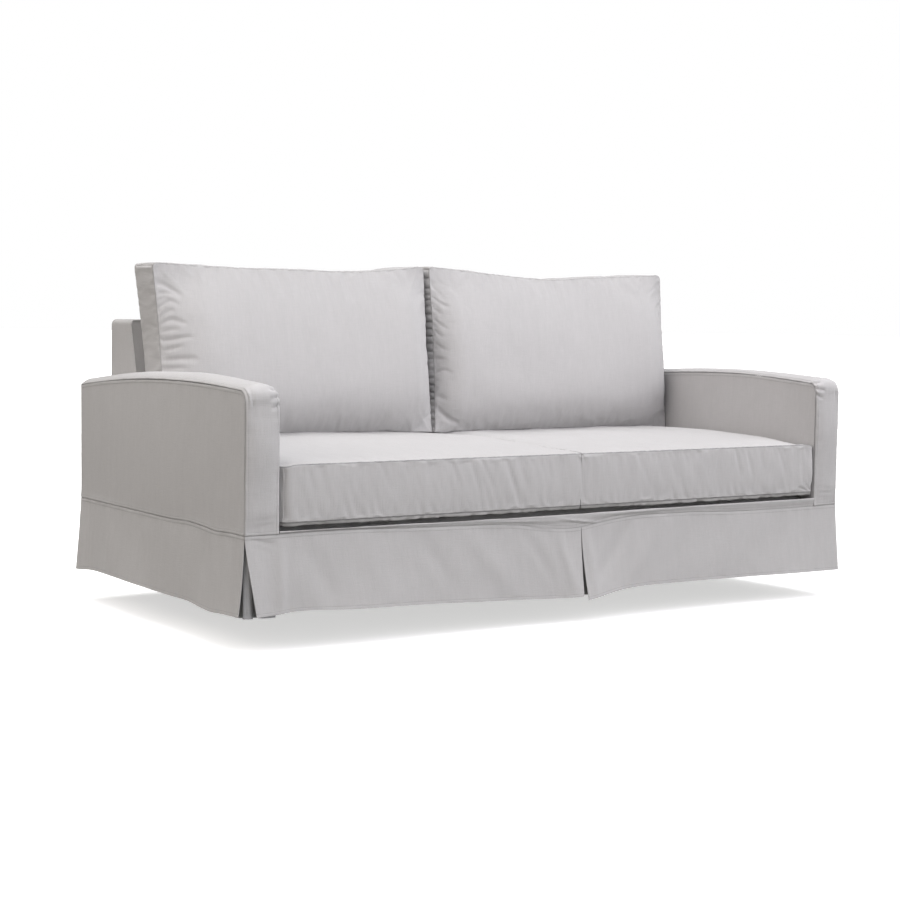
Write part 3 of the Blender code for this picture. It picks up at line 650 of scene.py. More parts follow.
# ---------------------------------------------------------------- arms
RELIEF_CLEAR = 0.025       # a panel's unevenness starts this far above the skirt's seam
ARM_OUTER_TALL, ARM_INNER_TALL = 0.345, 0.33    # along the panels' grids
ARM_BEND_AHEAD = 0.03      # the inner panel's columns start to lean this far ahead
BAND_FOOT_EASE = 0.06      # the band's padding starts over this height
ARM_OUTER_UNEVEN = ((0.0012, 0.22, 0.30), (0.0004, 0.05, 0.14))
ARM_INNER_UNEVEN = ((0.0010, 0.16, 0.20),)
ARM_BAND_UNEVEN = ((0.0007, 0.10, 0.06),)


def arm_hollow(side):
    """A point in the middle of the arm, which the arm's panels face away from."""
    return (side * (HALF - ARM_WIDTH / 2), 0.3, 0.35)


def arm_outer(side, word, seed):
    """Outer side panel: columns at places along the arm, rows from the skirt seam to the
    domed outline; it swells as a half sine both ways."""
    y, top = arm_outline(SETBACK, 0.007)
    near = SETBACK + SEAM_LINES[1:]
    y_all = np.unique(np.concatenate((y, near, DEPTH - SETBACK - SEAM_LINES)))
    top = np.interp(y_all, y, top)
    low = side_seam(side, y_all) + GAP
    z = fit_rows(low, top, spread(ARM_OUTER_TALL, 0.012))
    y = np.repeat(y_all[None, :], len(z), axis=0)
    v = (z - low) / (top - low)
    swell = ARM_BELLY * np.sin(math.pi * y / DEPTH) * np.sin(math.pi * v)
    face = xyz(side * (HALF + swell), y, z)

    def relief(across, along):
        """Unevenness that starts above the skirt's seam."""
        return uneven(across, along, ARM_OUTER_UNEVEN, seed + 3) * smooth_step(
            along / RELIEF_CLEAR)

    cloth_piece("arm_outer_panel_" + word, "arm_outer_" + word, face, arm_hollow(side),
                {"first_column": SEWN, "last_column": SEWN, "first_row": SEWN,
                 "last_row": ("seam", 0.0011)},
                relief, seed=seed)


def arm_inner(side, word, seed):
    """Inner side panel: rows from the deck to the domed outline; the rearmost columns
    lean over, by their share of the way back, until the last lies on the inside back."""
    outline_y, outline_top = arm_outline(SETBACK, 0.008)
    outline_top = outline_top + inner_lift(outline_y)
    corner = inside_back_y(np.interp(INSIDE_TOP_Y, outline_y, outline_top))
    bend = inside_back_y(DECK_TOP) - ARM_BEND_AHEAD
    y_all = np.unique(np.concatenate((outline_y[outline_y < bend], SETBACK + SEAM_LINES,
                                      np.linspace(bend, corner, 16))))
    low = DECK_TOP + GAP - deck_drop(side * INNER, y_all)
    top = np.interp(y_all, outline_y, outline_top)
    z = fit_rows(low, top, spread(ARM_INNER_TALL, 0.014))
    share = np.clip((y_all - bend) / (corner - bend), 0, 1)
    reach = inside_back_y(z) - 2 * GAP
    y = np.where(share > 0, bend + share * (reach - bend), y_all)
    face = xyz(side * INNER, y, z)

    def relief(across, along):
        """Unevenness all over."""
        return uneven(across, along, ARM_INNER_UNEVEN, seed + 3)

    cloth_piece("arm_inner_panel_" + word, "arm_inner_" + word, face, arm_hollow(side),
                {"first_column": SEWN, "first_row": SEWN, "last_row": ("seam", 0.0013)},
                relief, seed=seed)


# Creases at the band's top front corner: distance from the inner (or outer) seam and
# from the corner along the band, at both ends, then width and height.  A ridge runs up
# beside the inner seam.
BAND_RIDGE = ((0.0010, 0.010, 0.0040),)
BAND_DRAWN, BAND_SEAM_DRAWN = 1.9, 1.5     # the creases' heights are taken this many times
BAND_PINCH, BAND_PINCH_REACH = ((0.0010, 0.012, 0.05),), 0.045
BAND_CREASES = ((-0.004, 0.024, 0.036, 0.040, 0.0052, -0.0024),
                (-0.004, 0.008, 0.034, 0.014, 0.0052, -0.0028),
                (-0.004, -0.008, 0.036, -0.014, 0.0052, -0.0026),
                (-0.004, -0.024, 0.030, -0.038, 0.0052, -0.0022))
BAND_SEAM_CREASES = ((0.009, 0.030, 0.013, -0.045, 0.0040, 0.0016),
                     (0.016, 0.020, 0.020, -0.060, 0.0045, -0.0014),
                     (0.015, -0.312, 0.085, -0.306, 0.0040, -0.0009),
                     (0.020, -0.300, 0.080, -0.292, 0.0040, -0.0007))


def arm_band(side, word, seed):
    """The long strip up the arm's front, round its corner and back along its top: rows
    follow that path, columns go across.  The padding stands off as a flat-topped arch,
    whose height turns from the front's to the top's by the squares of the cosine and
    sine of the corner's angle."""
    y_line, z_line = arm_outline(0.0, 0.0045)
    t = spread(ARM_WIDTH, 0.0038) / ARM_WIDTH
    low = front_seam(side * (HALF - ARM_WIDTH * t)) + GAP
    upright_top = z_line[0]
    rise = spread(upright_top - low.mean(), 0.0045, last=np.array((0.0, 0.004)))
    rise = rise[:-1] / rise[-1]
    front_z = low + (upright_top - low) * rise[:, None]
    top_z = z_line[:, None] + inner_lift(y_line)[:, None] * t
    y = np.concatenate((np.zeros_like(front_z), np.repeat(y_line[:, None], len(t), axis=1)))
    z = np.concatenate((front_z, top_z))
    turned = np.arccos(1 - np.clip(y / ARM_CORNER, 0, 1))
    height = ((ARM_CROWN_FRONT + bells(z, ARM_FRONT_BULGE)) * np.cos(turned) ** 2
              + ARM_CROWN_TOP * np.sin(turned) ** 2 + ARM_CORNER_SWELL * np.sin(2 * turned))
    puff = height * crown(t, ARM_ARCH_POWER) * smooth_step((z - low) / BAND_FOOT_EASE)
    x = np.repeat(side * (HALF - ARM_WIDTH * t)[None, :], len(y), axis=0)
    face = xyz(x, y - np.cos(turned) * puff, z + np.sin(turned) * puff)

    def relief(across, along):
        """Unevenness, a pinched corner, and the creases drawn in from both seams."""
        corner = along[len(rise) + 6, 0]
        pinch = bump(along, corner, BAND_PINCH_REACH) * uneven(along, across, BAND_PINCH,
                                                               seed + 5)
        inner_edge = ARM_WIDTH + 0.006 - across
        drawn = (BAND_DRAWN * creases(inner_edge, along - corner, BAND_CREASES)
                 + BAND_SEAM_DRAWN * creases(across, along - corner, BAND_SEAM_CREASES)
                 + bells(inner_edge, BAND_RIDGE))
        return (pinch * smooth_step(across / 0.03)
                + uneven(along, across, ARM_BAND_UNEVEN, seed + 3) + drawn)

    cloth_piece("arm_band_strip_" + word, "arm_band_" + word, face, arm_hollow(side),
                {"first_column": SEWN, "last_column": ("seam", 0.0012), "first_row": SEWN,
                 "last_row": SEWN},
                relief,
                seed=seed)


# ---------------------------------------------------------------- back
BACK_STEP = 0.0006         # between the two columns where the outline steps up
BACK_OUTSIDE_UNEVEN = ((0.0010, 0.30, 0.18),)
BACK_BAND_UNEVEN = ((0.0012, 0.12, 0.10),)
BACK_INSIDE_UNEVEN = ((0.0009, 0.25, 0.20),)


def back_outside(seed):
    """Outside back: one grid whose columns follow the T-shaped outline, with quarter
    circles at the top corners.  Two columns stand BACK_STEP apart where the outline
    steps up from the arms to the back."""
    low = SKIRT_SEAM + GAP
    level = ARM_TOP - ARM_FALL * (DEPTH - ARM_TOP_Y) ** 2
    ear = np.unique(np.concatenate((spread(ARM_WIDTH, 0.008) / ARM_WIDTH, [1.0])))
    ear_x = HALF - ARM_WIDTH * ear
    ear_z = level + ARM_INNER_LIFT * ear + ARM_CROWN_TOP * crown(ear, ARM_ARCH_POWER)
    upper = INNER - BACK_STEP
    curve = np.linspace(0, math.pi / 2, 9)
    arc_x = upper - BACK_CORNER * (1 - np.sin(curve))
    arc_z = BACK_TOP - BACK_CORNER * (1 - np.cos(curve))
    middle = np.linspace(-arc_x[0], arc_x[0], 180)[1:-1]
    x = np.concatenate((-ear_x, -arc_x[::-1], middle, arc_x, ear_x[::-1]))
    z_top = np.concatenate((ear_z, arc_z[::-1], np.full(len(middle), BACK_TOP), arc_z,
                            ear_z[::-1]))
    z = fit_rows(np.full(len(x), low), z_top, spread(0.40, 0.014))
    face = xyz(x, DEPTH, z)

    def relief(across, along):
        """Unevenness below the plane of the seams, starting above the skirt's seam."""
        soft = uneven(across, along, BACK_OUTSIDE_UNEVEN, seed + 3) - BACK_OUTSIDE_UNEVEN[0][0]
        return soft * smooth_step(along / RELIEF_CLEAR)

    cloth_piece("back_outside_panel", "back_outside", face, (0.0, 0.5, 0.4),
                {"first_column": SEWN, "last_column": SEWN, "first_row": SEWN,
                 "last_row": SEWN},
                relief, seed=seed)


def back_band(seed):
    """The strip round the back's thickness: rows follow the path up the left end, over
    the top and down the right end; columns go from the inside back to the outside."""
    end = INNER - GAP
    low = ARM_TOP - ARM_FALL * (INSIDE_TOP_Y - ARM_TOP_Y) ** 2
    curve = np.linspace(0, math.pi / 2, 9)
    corner_x = end - BACK_CORNER * (1 - np.cos(curve))
    corner_z = BACK_TOP - BACK_CORNER * (1 - np.sin(curve))
    rise_z = np.linspace(low, corner_z[0], 24)[:-1]
    right_x = np.concatenate((np.full(len(rise_z), end), corner_x))
    right_z = np.concatenate((rise_z, corner_z))
    top_x = np.linspace(corner_x[-1], -corner_x[-1], 190)[1:-1]
    path_x = np.concatenate((-right_x, top_x[::-1], right_x[::-1]))
    path_z = np.concatenate((right_z, np.full(len(top_x), BACK_TOP), right_z[::-1]))
    front = inside_back_y(path_z)[:, None]
    t = spread(0.13, 0.010) / 0.13
    y = front + (DEPTH - SETBACK - front) * t
    face = xyz(path_x[:, None], y, path_z[:, None])

    def relief(across, along):
        """Unevenness all over."""
        return uneven(along, across, BACK_BAND_UNEVEN, seed + 3)

    cloth_piece("back_band_strip", "back_band", face, (0.0, 0.92, 0.60),
                {"first_column": SEWN, "last_column": SEWN}, relief,
                seed=seed)


def back_inside(seed):
    """The raked inside back: rows lean with the rake, and their ends follow the band's
    corner, a quarter circle."""
    turn = np.linspace(0, math.pi / 2, 9)
    radius = BACK_CORNER - SETBACK - GAP
    foot = DECK_TOP + GAP + SOLID_CLOTH * INSIDE_RAKE
    rise = np.linspace(foot, BACK_TOP - BACK_CORNER, 36)[:-1]
    z_rows = np.concatenate((rise, BACK_TOP - BACK_CORNER + radius * np.sin(turn)))
    half = INNER - BACK_CORNER + np.concatenate((np.full(len(rise), radius),
                                                 radius * np.cos(turn)))
    across = np.linspace(-1, 1, 120)
    z = np.repeat(z_rows[:, None], len(across), axis=1)
    face = xyz(across * half[:, None], inside_back_y(z), z)

    def relief(across, along):
        """Unevenness all over."""
        return uneven(across, along, BACK_INSIDE_UNEVEN, seed + 3)

    cloth_piece("back_inside_panel", "back_inside", face, (0.0, 0.95, 0.50),
                {"last_row": SEWN}, relief,
                seed=seed)


# ---------------------------------------------------------------- seat
def deck(seed):
    """A level sheet, lower by deck_drop towards the seat's front edge."""
    half = INNER + SOLID_CLOTH
    back = inside_back_y(DECK_TOP) + SOLID_CLOTH
    x, y = np.meshgrid(np.linspace(-half, half, 90), np.linspace(RAIL_LAP + GAP, back, 80))
    face = xyz(x, y, DECK_TOP - deck_drop(x, y))
    cloth_piece("deck_panel", "deck", face, (0.0, 0.4, 0.1), {"first_row": ("seam", 0.0003)},
                seed=seed)


# Folds of the rail and of the skirt panels: along and height above the floor at both
# ends, then width and height.
RAIL_FOLDS = ((-0.060, 0.2790, 0.090, 0.2600, 0.0040, 0.0042),
              (-0.050, 0.2715, 0.100, 0.2545, 0.0040, -0.0024),
              (-0.480, 0.2880, -0.120, 0.2800, 0.0035, -0.0016),
              (-0.300, 0.2835, 0.000, 0.2690, 0.0040, 0.0020),
              (0.080, 0.2830, 0.300, 0.2850, 0.0035, 0.0016),
              (0.060, 0.2690, 0.200, 0.2800, 0.0040, -0.0018),
              (-0.860, 0.2880, -0.600, 0.2870, 0.0030, -0.0010),
              (0.350, 0.2830, 0.700, 0.2800, 0.0030, -0.0010))
RAIL_EDGE = 0.0018         # radius of the strip's turn
RAIL_SET_IN = -0.0035      # the strip's upper edge stands a little forward of its seam
RAIL_TROUGH_EASE = 0.014
RAIL_DRAWN, RAIL_UNEVEN = 0.55, ((0.0006, 0.06, 0.02),)


def front_rail(seed):
    """The strip over the seat's front edge: rows rise out of the trough, turn over the
    edge in a quarter circle and run down to the skirt."""
    half = INNER - GAP
    turn = np.linspace(0, math.pi / 2, 7)
    x = np.linspace(-half, half, 320)
    behind = np.linspace(RAIL_LAP, RAIL_SET_IN + RAIL_EDGE + 0.002, 8)
    down = np.linspace(0, 1, 11)[1:]
    edge = RAIL_SET_IN + RAIL_EDGE * (1 - np.sin(turn))
    y = np.concatenate((behind, edge, RAIL_SET_IN * (1 - smooth_step(down))))
    over = RAIL_EDGE * np.concatenate((np.zeros(len(behind)), 1 - np.cos(turn),
                                       np.ones(len(down))))
    over += DECK_TROUGH * smooth_step((y - RAIL_SET_IN - RAIL_EDGE) / RAIL_TROUGH_EASE)
    level = DECK_TOP - front_sag(x) - over[:, None]
    fall = np.concatenate((np.zeros(len(behind) + len(turn)), down))[:, None]
    z = level + (front_seam(x) + GAP - level) * fall
    face = xyz(x, y[:, None], z)

    def relief(across, along):
        """Folds and unevenness, on the strip's front only."""
        low = smooth_step((along - 0.022) / 0.01)
        return low * (RAIL_DRAWN * creases(face[..., 0], face[..., 2], RAIL_FOLDS)
                      + uneven(across, along, RAIL_UNEVEN, seed + 3))

    cloth_piece("front_rail_strip", "front_rail", face, (0.0, 0.3, 0.1),
                {"last_row": ("soft seam", 0.0005, 0.10)}, relief,
                seed=seed)


# ---------------------------------------------------------------- skirt
FRONT_KICK = (0.007, 0.004)                # how far the ends kick out at the hem: first, last
SIDE_KICK = (-0.001, 0.013)
SKIRT_UNEVEN, SKIRT_FINE = ((0.0016, 0.09, 0.11),), ((0.0005, 0.035, 0.05),)
SKIRT_DRAWN, SKIRT_CLEAR = 0.7, 0.012
# Waves of the hems: height, turning per metre, shift.
FRONT_WAVES = ((0.0035, 9.0, 0.6), (0.0020, 17.0, 0.0))
SIDE_WAVES, SIDE_HEM_WAVE, SIDE_HEM_DIP = ((0.004, 11.0, 0.4),), 0.003, 0.006
BACK_WAVES, BACK_HEM_WAVES = ((0.004, 8.0, 1.0),), ((0.003, 7.0, 0.0),)


def skirt_relief(seed, folds, places, heights):
    """Soft folds of a hanging skirt, along straight lines of the panel's own places and
    heights, over a faint unevenness that grows to the hem."""
    def relief(across, along):
        """The folds and the unevenness, starting below the seam."""
        down = np.clip(along / SKIRT_DROP, 0, 1)
        total = (uneven(across, along, SKIRT_UNEVEN, seed + 3) * (0.3 + 0.7 * down)
                 + uneven(across, along, SKIRT_FINE, seed + 4))
        clear = np.clip(along / SKIRT_CLEAR, 0, 1)
        return clear * (total + SKIRT_DRAWN * creases(places, heights, folds))
    return relief


LEFT_FOLDS = ((-0.862, 0.270, -0.868, 0.060, 0.016, 0.0055),
              (-0.900, 0.275, -0.905, 0.050, 0.018, -0.0030),
              (-0.950, 0.2760, -0.870, 0.2560, 0.0060, -0.0028),
              (-0.945, 0.2620, -0.885, 0.2380, 0.0070, -0.0022),
              (-0.800, 0.262, -0.720, 0.110, 0.030, -0.0035),
              (-0.640, 0.275, -0.560, 0.080, 0.034, 0.0030),
              (-0.480, 0.270, -0.380, 0.120, 0.030, -0.0030),
              (-0.330, 0.268, -0.190, 0.080, 0.032, 0.0032),
              (-0.160, 0.255, -0.060, 0.110, 0.022, -0.0030),
              (-0.050, 0.250, 0.010, 0.060, 0.018, 0.0035))
RIGHT_FOLDS = ((0.045, 0.250, 0.070, 0.050, 0.016, 0.0040),
               (0.190, 0.262, 0.080, 0.110, 0.026, -0.0045),
               (0.310, 0.270, 0.170, 0.080, 0.030, 0.0035),
               (0.430, 0.266, 0.330, 0.110, 0.034, -0.0032),
               (0.600, 0.262, 0.520, 0.070, 0.036, 0.0030),
               (0.760, 0.262, 0.660, 0.100, 0.034, -0.0032),
               (0.880, 0.262, 0.820, 0.070, 0.026, 0.0030))
SIDE_FOLDS = ((0.925, 0.285, 0.905, 0.050, 0.016, -0.0055),
              (0.960, 0.285, 0.955, 0.050, 0.014, 0.0030),
              (0.790, 0.280, 0.730, 0.080, 0.034, 0.0028),
              (0.600, 0.276, 0.520, 0.090, 0.034, -0.0026),
              (0.400, 0.276, 0.330, 0.070, 0.036, 0.0026),
              (0.220, 0.276, 0.150, 0.080, 0.030, -0.0030),
              (0.070, 0.272, 0.045, 0.050, 0.020, 0.0030))
BACK_FOLDS = ((-0.800, 0.280, -0.860, 0.050, 0.022, -0.0040),
              (-0.500, 0.280, -0.420, 0.080, 0.036, 0.0030),
              (-0.150, 0.280, -0.060, 0.080, 0.036, -0.0030),
              (0.220, 0.280, 0.150, 0.080, 0.036, 0.0030),
              (0.560, 0.280, 0.500, 0.080, 0.034, -0.0030),
              (0.850, 0.280, 0.880, 0.050, 0.022, 0.0040))


def front_skirt(word, left, right, open_left, open_right, dip, folds, seed):
    """One front panel: rows hang from the sagging seam, the ends draw back from the
    pleats towards the hem by flare, most at the ends (a fourth power of the way along),
    and the cloth stands forward by flare, with bells at the ends and waves at the hem."""
    place_x = left + spread(right - left, 0.006)
    v = (spread(SKIRT_DROP, 0.008) / SKIRT_DROP)[:, None]
    s = (place_x - left) / (right - left)
    x = place_x + (open_left * (1 - s) ** 4 - open_right * s ** 4) * flare(v)
    top = front_seam(x) - GAP
    z = top + (front_hem(x) - dip * bump(x, left, KICK_REACH) - top) * v
    kick = bells(x, ((FRONT_KICK[0], left, KICK_REACH), (FRONT_KICK[1], right, KICK_REACH)))
    y = -(SKIRT_FLARE + kick) * flare(v) - waves(x, FRONT_WAVES) * v * v
    cloth_piece("skirt_front_panel_" + word, "skirt_front_" + word,
                xyz(x, y, z), (0.0, 0.5, 0.2),
                {"first_row": ("soft seam", 0.0008, 0.22), "last_row": ("hem", 0.0006)},
                skirt_relief(seed, folds, x, z),
                seed=seed)


def side_skirt(side, word, folds, seed):
    """One side panel: rows hang from the seam, both ends draw back towards the hem and
    kick outwards, most at the rear."""
    v = (spread(SKIRT_DROP, 0.008) / SKIRT_DROP)[:, None]
    s = spread(DEPTH, 0.0065) / DEPTH
    start = SETBACK + PLEAT_OPEN_SIDE * flare(v)
    stop = DEPTH - SETBACK - PLEAT_OPEN_BACK * flare(v)
    y = start + (stop - start) * s
    top = side_seam(side, y) - GAP
    run = s * DEPTH
    hem = top - SKIRT_DROP - SIDE_HEM_WAVE * np.sin(2 * math.pi * s) - SIDE_HEM_DIP * bump(
        run, DEPTH, KICK_REACH)
    z = top + (hem - top) * v
    kick = bells(run, ((SIDE_KICK[0], 0.0, KICK_REACH), (SIDE_KICK[1], DEPTH, KICK_REACH)))
    x = side * (HALF + (SKIRT_FLARE + kick) * flare(v) + waves(y, SIDE_WAVES) * v * v)
    cloth_piece("skirt_side_panel_" + word, "skirt_side_" + word,
                xyz(x, y, z), (0.0, 0.5, 0.2),
                {"first_row": ("seam", 0.0014, 0.35), "last_row": ("hem", 0.0006)},
                skirt_relief(seed, folds, y, z),
                seed=seed)


def back_skirt(folds, seed):
    """The panel behind: a straight seam, a gently waving hem."""
    v = (spread(SKIRT_DROP, 0.010) / SKIRT_DROP)[:, None]
    x = spread(WIDTH, 0.010) - HALF
    x = x * (1 - PLEAT_OPEN_BACK * flare(v) / HALF)
    top = SKIRT_SEAM - GAP
    z = top - SKIRT_DROP * v - waves(x, BACK_HEM_WAVES) * v
    y = DEPTH + SKIRT_FLARE * flare(v) + waves(x, BACK_WAVES) * v * v
    cloth_piece("skirt_back_panel", "skirt_back", xyz(x, y, z),
                (0.0, 0.5, 0.2), {"first_row": SEWN, "last_row": ("hem", 0.0006)},
                skirt_relief(seed, folds, x, z),
                seed=seed)


# The underlay at a corner: the strip that stands in the pleat, and how far the cloth
# lies back beside it, as bells of the distance from the turn.
STRIP_PLACE, STRIP_WIDTH, STRIP_INSET = 0.004, 0.016, 0.003
LYING_BACK = ((0.022, 0.034, 0.009), (0.012, -0.023, 0.007))
UNDERLAY_EASE, CENTRE_EASE, CENTRE_FOLD = 0.2, 0.3, 0.03


def corner_underlay(side, at_back, word, seed):
    """The cloth behind a corner pleat: its path goes along one side, turns the corner in
    a quarter circle and goes along the other.  Towards the hem it lies back on both sides
    of the turn, by the bells of LYING_BACK, which leaves a strip standing in the pleat."""
    corner_y = DEPTH if at_back else 0.0
    into = -1.0 if at_back else 1.0
    turn = np.linspace(0, math.pi / 2, 11)
    reach = UNDERLAY_REACH * np.linspace(0.15, 1.0, 30)
    none = np.zeros(len(reach))
    across = np.concatenate((none, UNDERLAY_BEND * (1 - np.cos(turn)), reach))
    back = np.concatenate((reach[::-1], UNDERLAY_BEND * (1 - np.sin(turn)), none))
    v = (spread(SKIRT_DROP, 0.010) / SKIRT_DROP)[:, None]
    s = across - back
    facing = smooth_step((s / UNDERLAY_BEND + 1) / 2) * math.pi / 2
    strip = bump(s, STRIP_PLACE, STRIP_WIDTH)
    inset = SETBACK + GAP + (STRIP_INSET * strip + bells(s, LYING_BACK)) * flare(v)
    ease = UNDERLAY_EASE * SKIRT_FLARE * flare(v) * (1 - strip)
    x = side * (HALF - across - (inset - ease) * np.cos(facing) - SETBACK * np.sin(facing))
    y = corner_y + into * (back + (inset - ease) * np.sin(facing) + SETBACK * np.cos(facing))
    seam = side_seam(side, corner_y)
    top = np.minimum(seam, SKIRT_SEAM if at_back else front_seam(x)) - GAP
    longer = UNDERLAY_LONGER if word == "front_left" else -UNDERLAY_SHORTER    # that one shows
    z = top + (seam - SKIRT_DROP - longer - top) * v
    cloth_piece("pleat_cloth_" + word, "pleat_underlay_" + word,
                xyz(x, y, z),
                (side * (HALF - 0.3), corner_y + into * 0.3, 0.2),
                {"last_row": ("hem", 0.0004)}, None, SHADED_UNDERLAY,
                seed=seed)


def centre_underlay(seed):
    """The cloth behind the middle pleat: a level grid that follows the skirt outwards and
    is dented by a bell at the pleat."""
    v = (spread(SKIRT_DROP, 0.010) / SKIRT_DROP)[:, None]
    x = np.repeat(np.linspace(PLEAT_X - UNDERLAY_REACH, PLEAT_X + UNDERLAY_REACH, 41)[None, :],
                  len(v), axis=0)
    fold = bump(x, PLEAT_X, CENTRE_FOLD)
    ease = CENTRE_EASE * SKIRT_FLARE * (1 - fold)
    y = SETBACK + 2 * GAP + (UNDERLAY_DENT * fold - ease) * flare(v)
    top = front_seam(x) - GAP
    z = top + (front_seam(PLEAT_X) - SKIRT_DROP + UNDERLAY_SHORTER - top) * v
    cloth_piece("pleat_cloth_centre", "pleat_underlay_centre", xyz(x, y, z),
                (0.0, 0.5, 0.2), {"last_row": ("hem", 0.0004)}, None, SHADED_UNDERLAY,
                seed=seed)


# ---------------------------------------------------------------- cushions
STRIP_STEP = 0.009         # between the boxing's rows
CORNER_FREE = 0.035        # gathers reach their full depth this far from a corner
SIDE_RUN = 1.37            # the runs of a grid's four sides start this far apart


def cushion_piece(name, node, face, rear, relief, rear_relief, strip_height, line):
    """A boxed cushion: a front grid and a rear grid of the same size, and a boxing strip
    of rows from rim to rim.

    relief and rear_relief give the heights along the two grids' normals, from (across,
    along, distance from the nearest seam, run along it, and 0 in a corner to 1 clear of
    it).  A point of the strip lies on the straight line between the rims, and stands off
    by strip_height(run, share, width, side); the sides are 0 first row, 1 last column, 2
    last row, 3 first column.  line is how dark the painted shade along the seams is,
    from 0 to 1.
    """
    rows, columns = face.shape[:2]
    index = np.arange(rows * columns).reshape(rows, columns)
    rim = grid_rim(index)
    centre = (face.mean(axis=(0, 1)) + rear.mean(axis=(0, 1))) / 2
    sides = []
    for sheet, height in ((face, relief), (rear, rear_relief)):
        normal = grid_normals(sheet)
        if (normal * (sheet - centre)).sum() < 0:
            normal = -normal
        across, along = arcs(sheet)
        ends = np.minimum(across, across[:, -1:] - across)
        rows_off = np.minimum(along, along[-1:] - along)
        away = np.minimum(ends, rows_off)
        edge = np.argmin(np.stack((along, along[-1:] - along, across,
                                   across[:, -1:] - across)), axis=0)
        run = np.where(edge < 2, across, along) + SIDE_RUN * edge
        free = smooth_step((np.maximum(ends, rows_off) - away) / CORNER_FREE)
        lift = height(across, along, away, run, free)
        sides.append((sheet + normal * lift[..., None], across, along, away, run))
    front_points = sides[0][0].reshape(-1, 3)
    rear_points = sides[1][0].reshape(-1, 3)
    start, stop = front_points[rim], rear_points[rim]
    run = np.linalg.norm(np.diff(start, axis=0, append=start[:1]), axis=1)
    run = np.concatenate(([0.0], run.cumsum()[:-1]))
    width = np.linalg.norm(stop - start, axis=1)
    tangent = np.roll(start, -2, axis=0) - np.roll(start, 2, axis=0)
    out = np.cross(tangent, stop - start)
    out /= np.linalg.norm(out, axis=1, keepdims=True)
    if (out * ((start + stop) / 2 - centre)).sum() < 0:
        out = -out
    typical = float(np.median(width))
    share = spread(typical, STRIP_STEP) / typical
    inner_share = share[1:-1, None]
    side = np.repeat([0, 1, 2, 3], [columns - 1, rows - 1, columns - 1, rows - 1])
    lift = strip_height(run[None, :], inner_share, width[None, :], side[None, :])
    strip = (start[None] * (1 - inner_share[..., None]) + stop[None] * inner_share[..., None]
             + out[None] * lift[..., None])
    count = rows * columns
    strip_index = 2 * count + np.arange(strip[..., 0].size).reshape(strip.shape[:2])
    ring = np.concatenate((rim[None], strip_index, rim[None] + count))
    ring = np.concatenate((ring, ring[:, :1]), axis=1)
    points = np.concatenate((front_points, rear_points, strip.reshape(-1, 3)))

    def outwards(faces):
        """The faces in the order that makes them look away from the middle."""
        corner = points[faces]
        normal = np.cross(corner[:, 2] - corner[:, 0], corner[:, 3] - corner[:, 1])
        outward = (normal * (corner.mean(axis=1) - centre)).sum()
        return faces if outward > 0 else faces[:, ::-1]

    faces = np.concatenate([outwards(part) for part in (
        grid_faces(index), grid_faces(index) + count, grid_faces(ring))])
    cloth = [np.stack((part[1], part[2]), axis=-1).reshape(-1, 2) for part in sides]
    sewn = [np.stack((part[3], part[4], np.full_like(part[3], line)), axis=-1).reshape(-1, 3)
            for part in sides]
    strip_width = width[None, :] * inner_share
    strip_run = np.broadcast_to(run[None, :], strip_width.shape)
    strip_away = np.minimum(strip_width, width[None, :] - strip_width)
    cloth.append(np.stack((strip_run, strip_width), axis=-1).reshape(-1, 2))
    sewn.append(np.stack((strip_away, strip_run, np.full_like(strip_away, line)),
                         axis=-1).reshape(-1, 3))
    piece = make_piece(name, points, faces, np.concatenate(cloth), np.concatenate(sewn),
                       CUSHION, smooth_angle=60)
    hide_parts(node)
    return piece


def evened(values, edges, rounds):
    """Even out the points' values: each round takes half a point's own value and half the
    mean of its neighbours' along the edges."""
    first = np.concatenate((edges[:, 0], edges[:, 1]))
    second = np.concatenate((edges[:, 1], edges[:, 0]))
    neighbours = np.bincount(first, minlength=len(values))[:, None]
    for _ in range(rounds):
        sums = np.stack([np.bincount(first, values[second, axis], len(values))
                         for axis in range(3)], axis=1)
        values = 0.5 * values + 0.5 * sums / neighbours
    return values


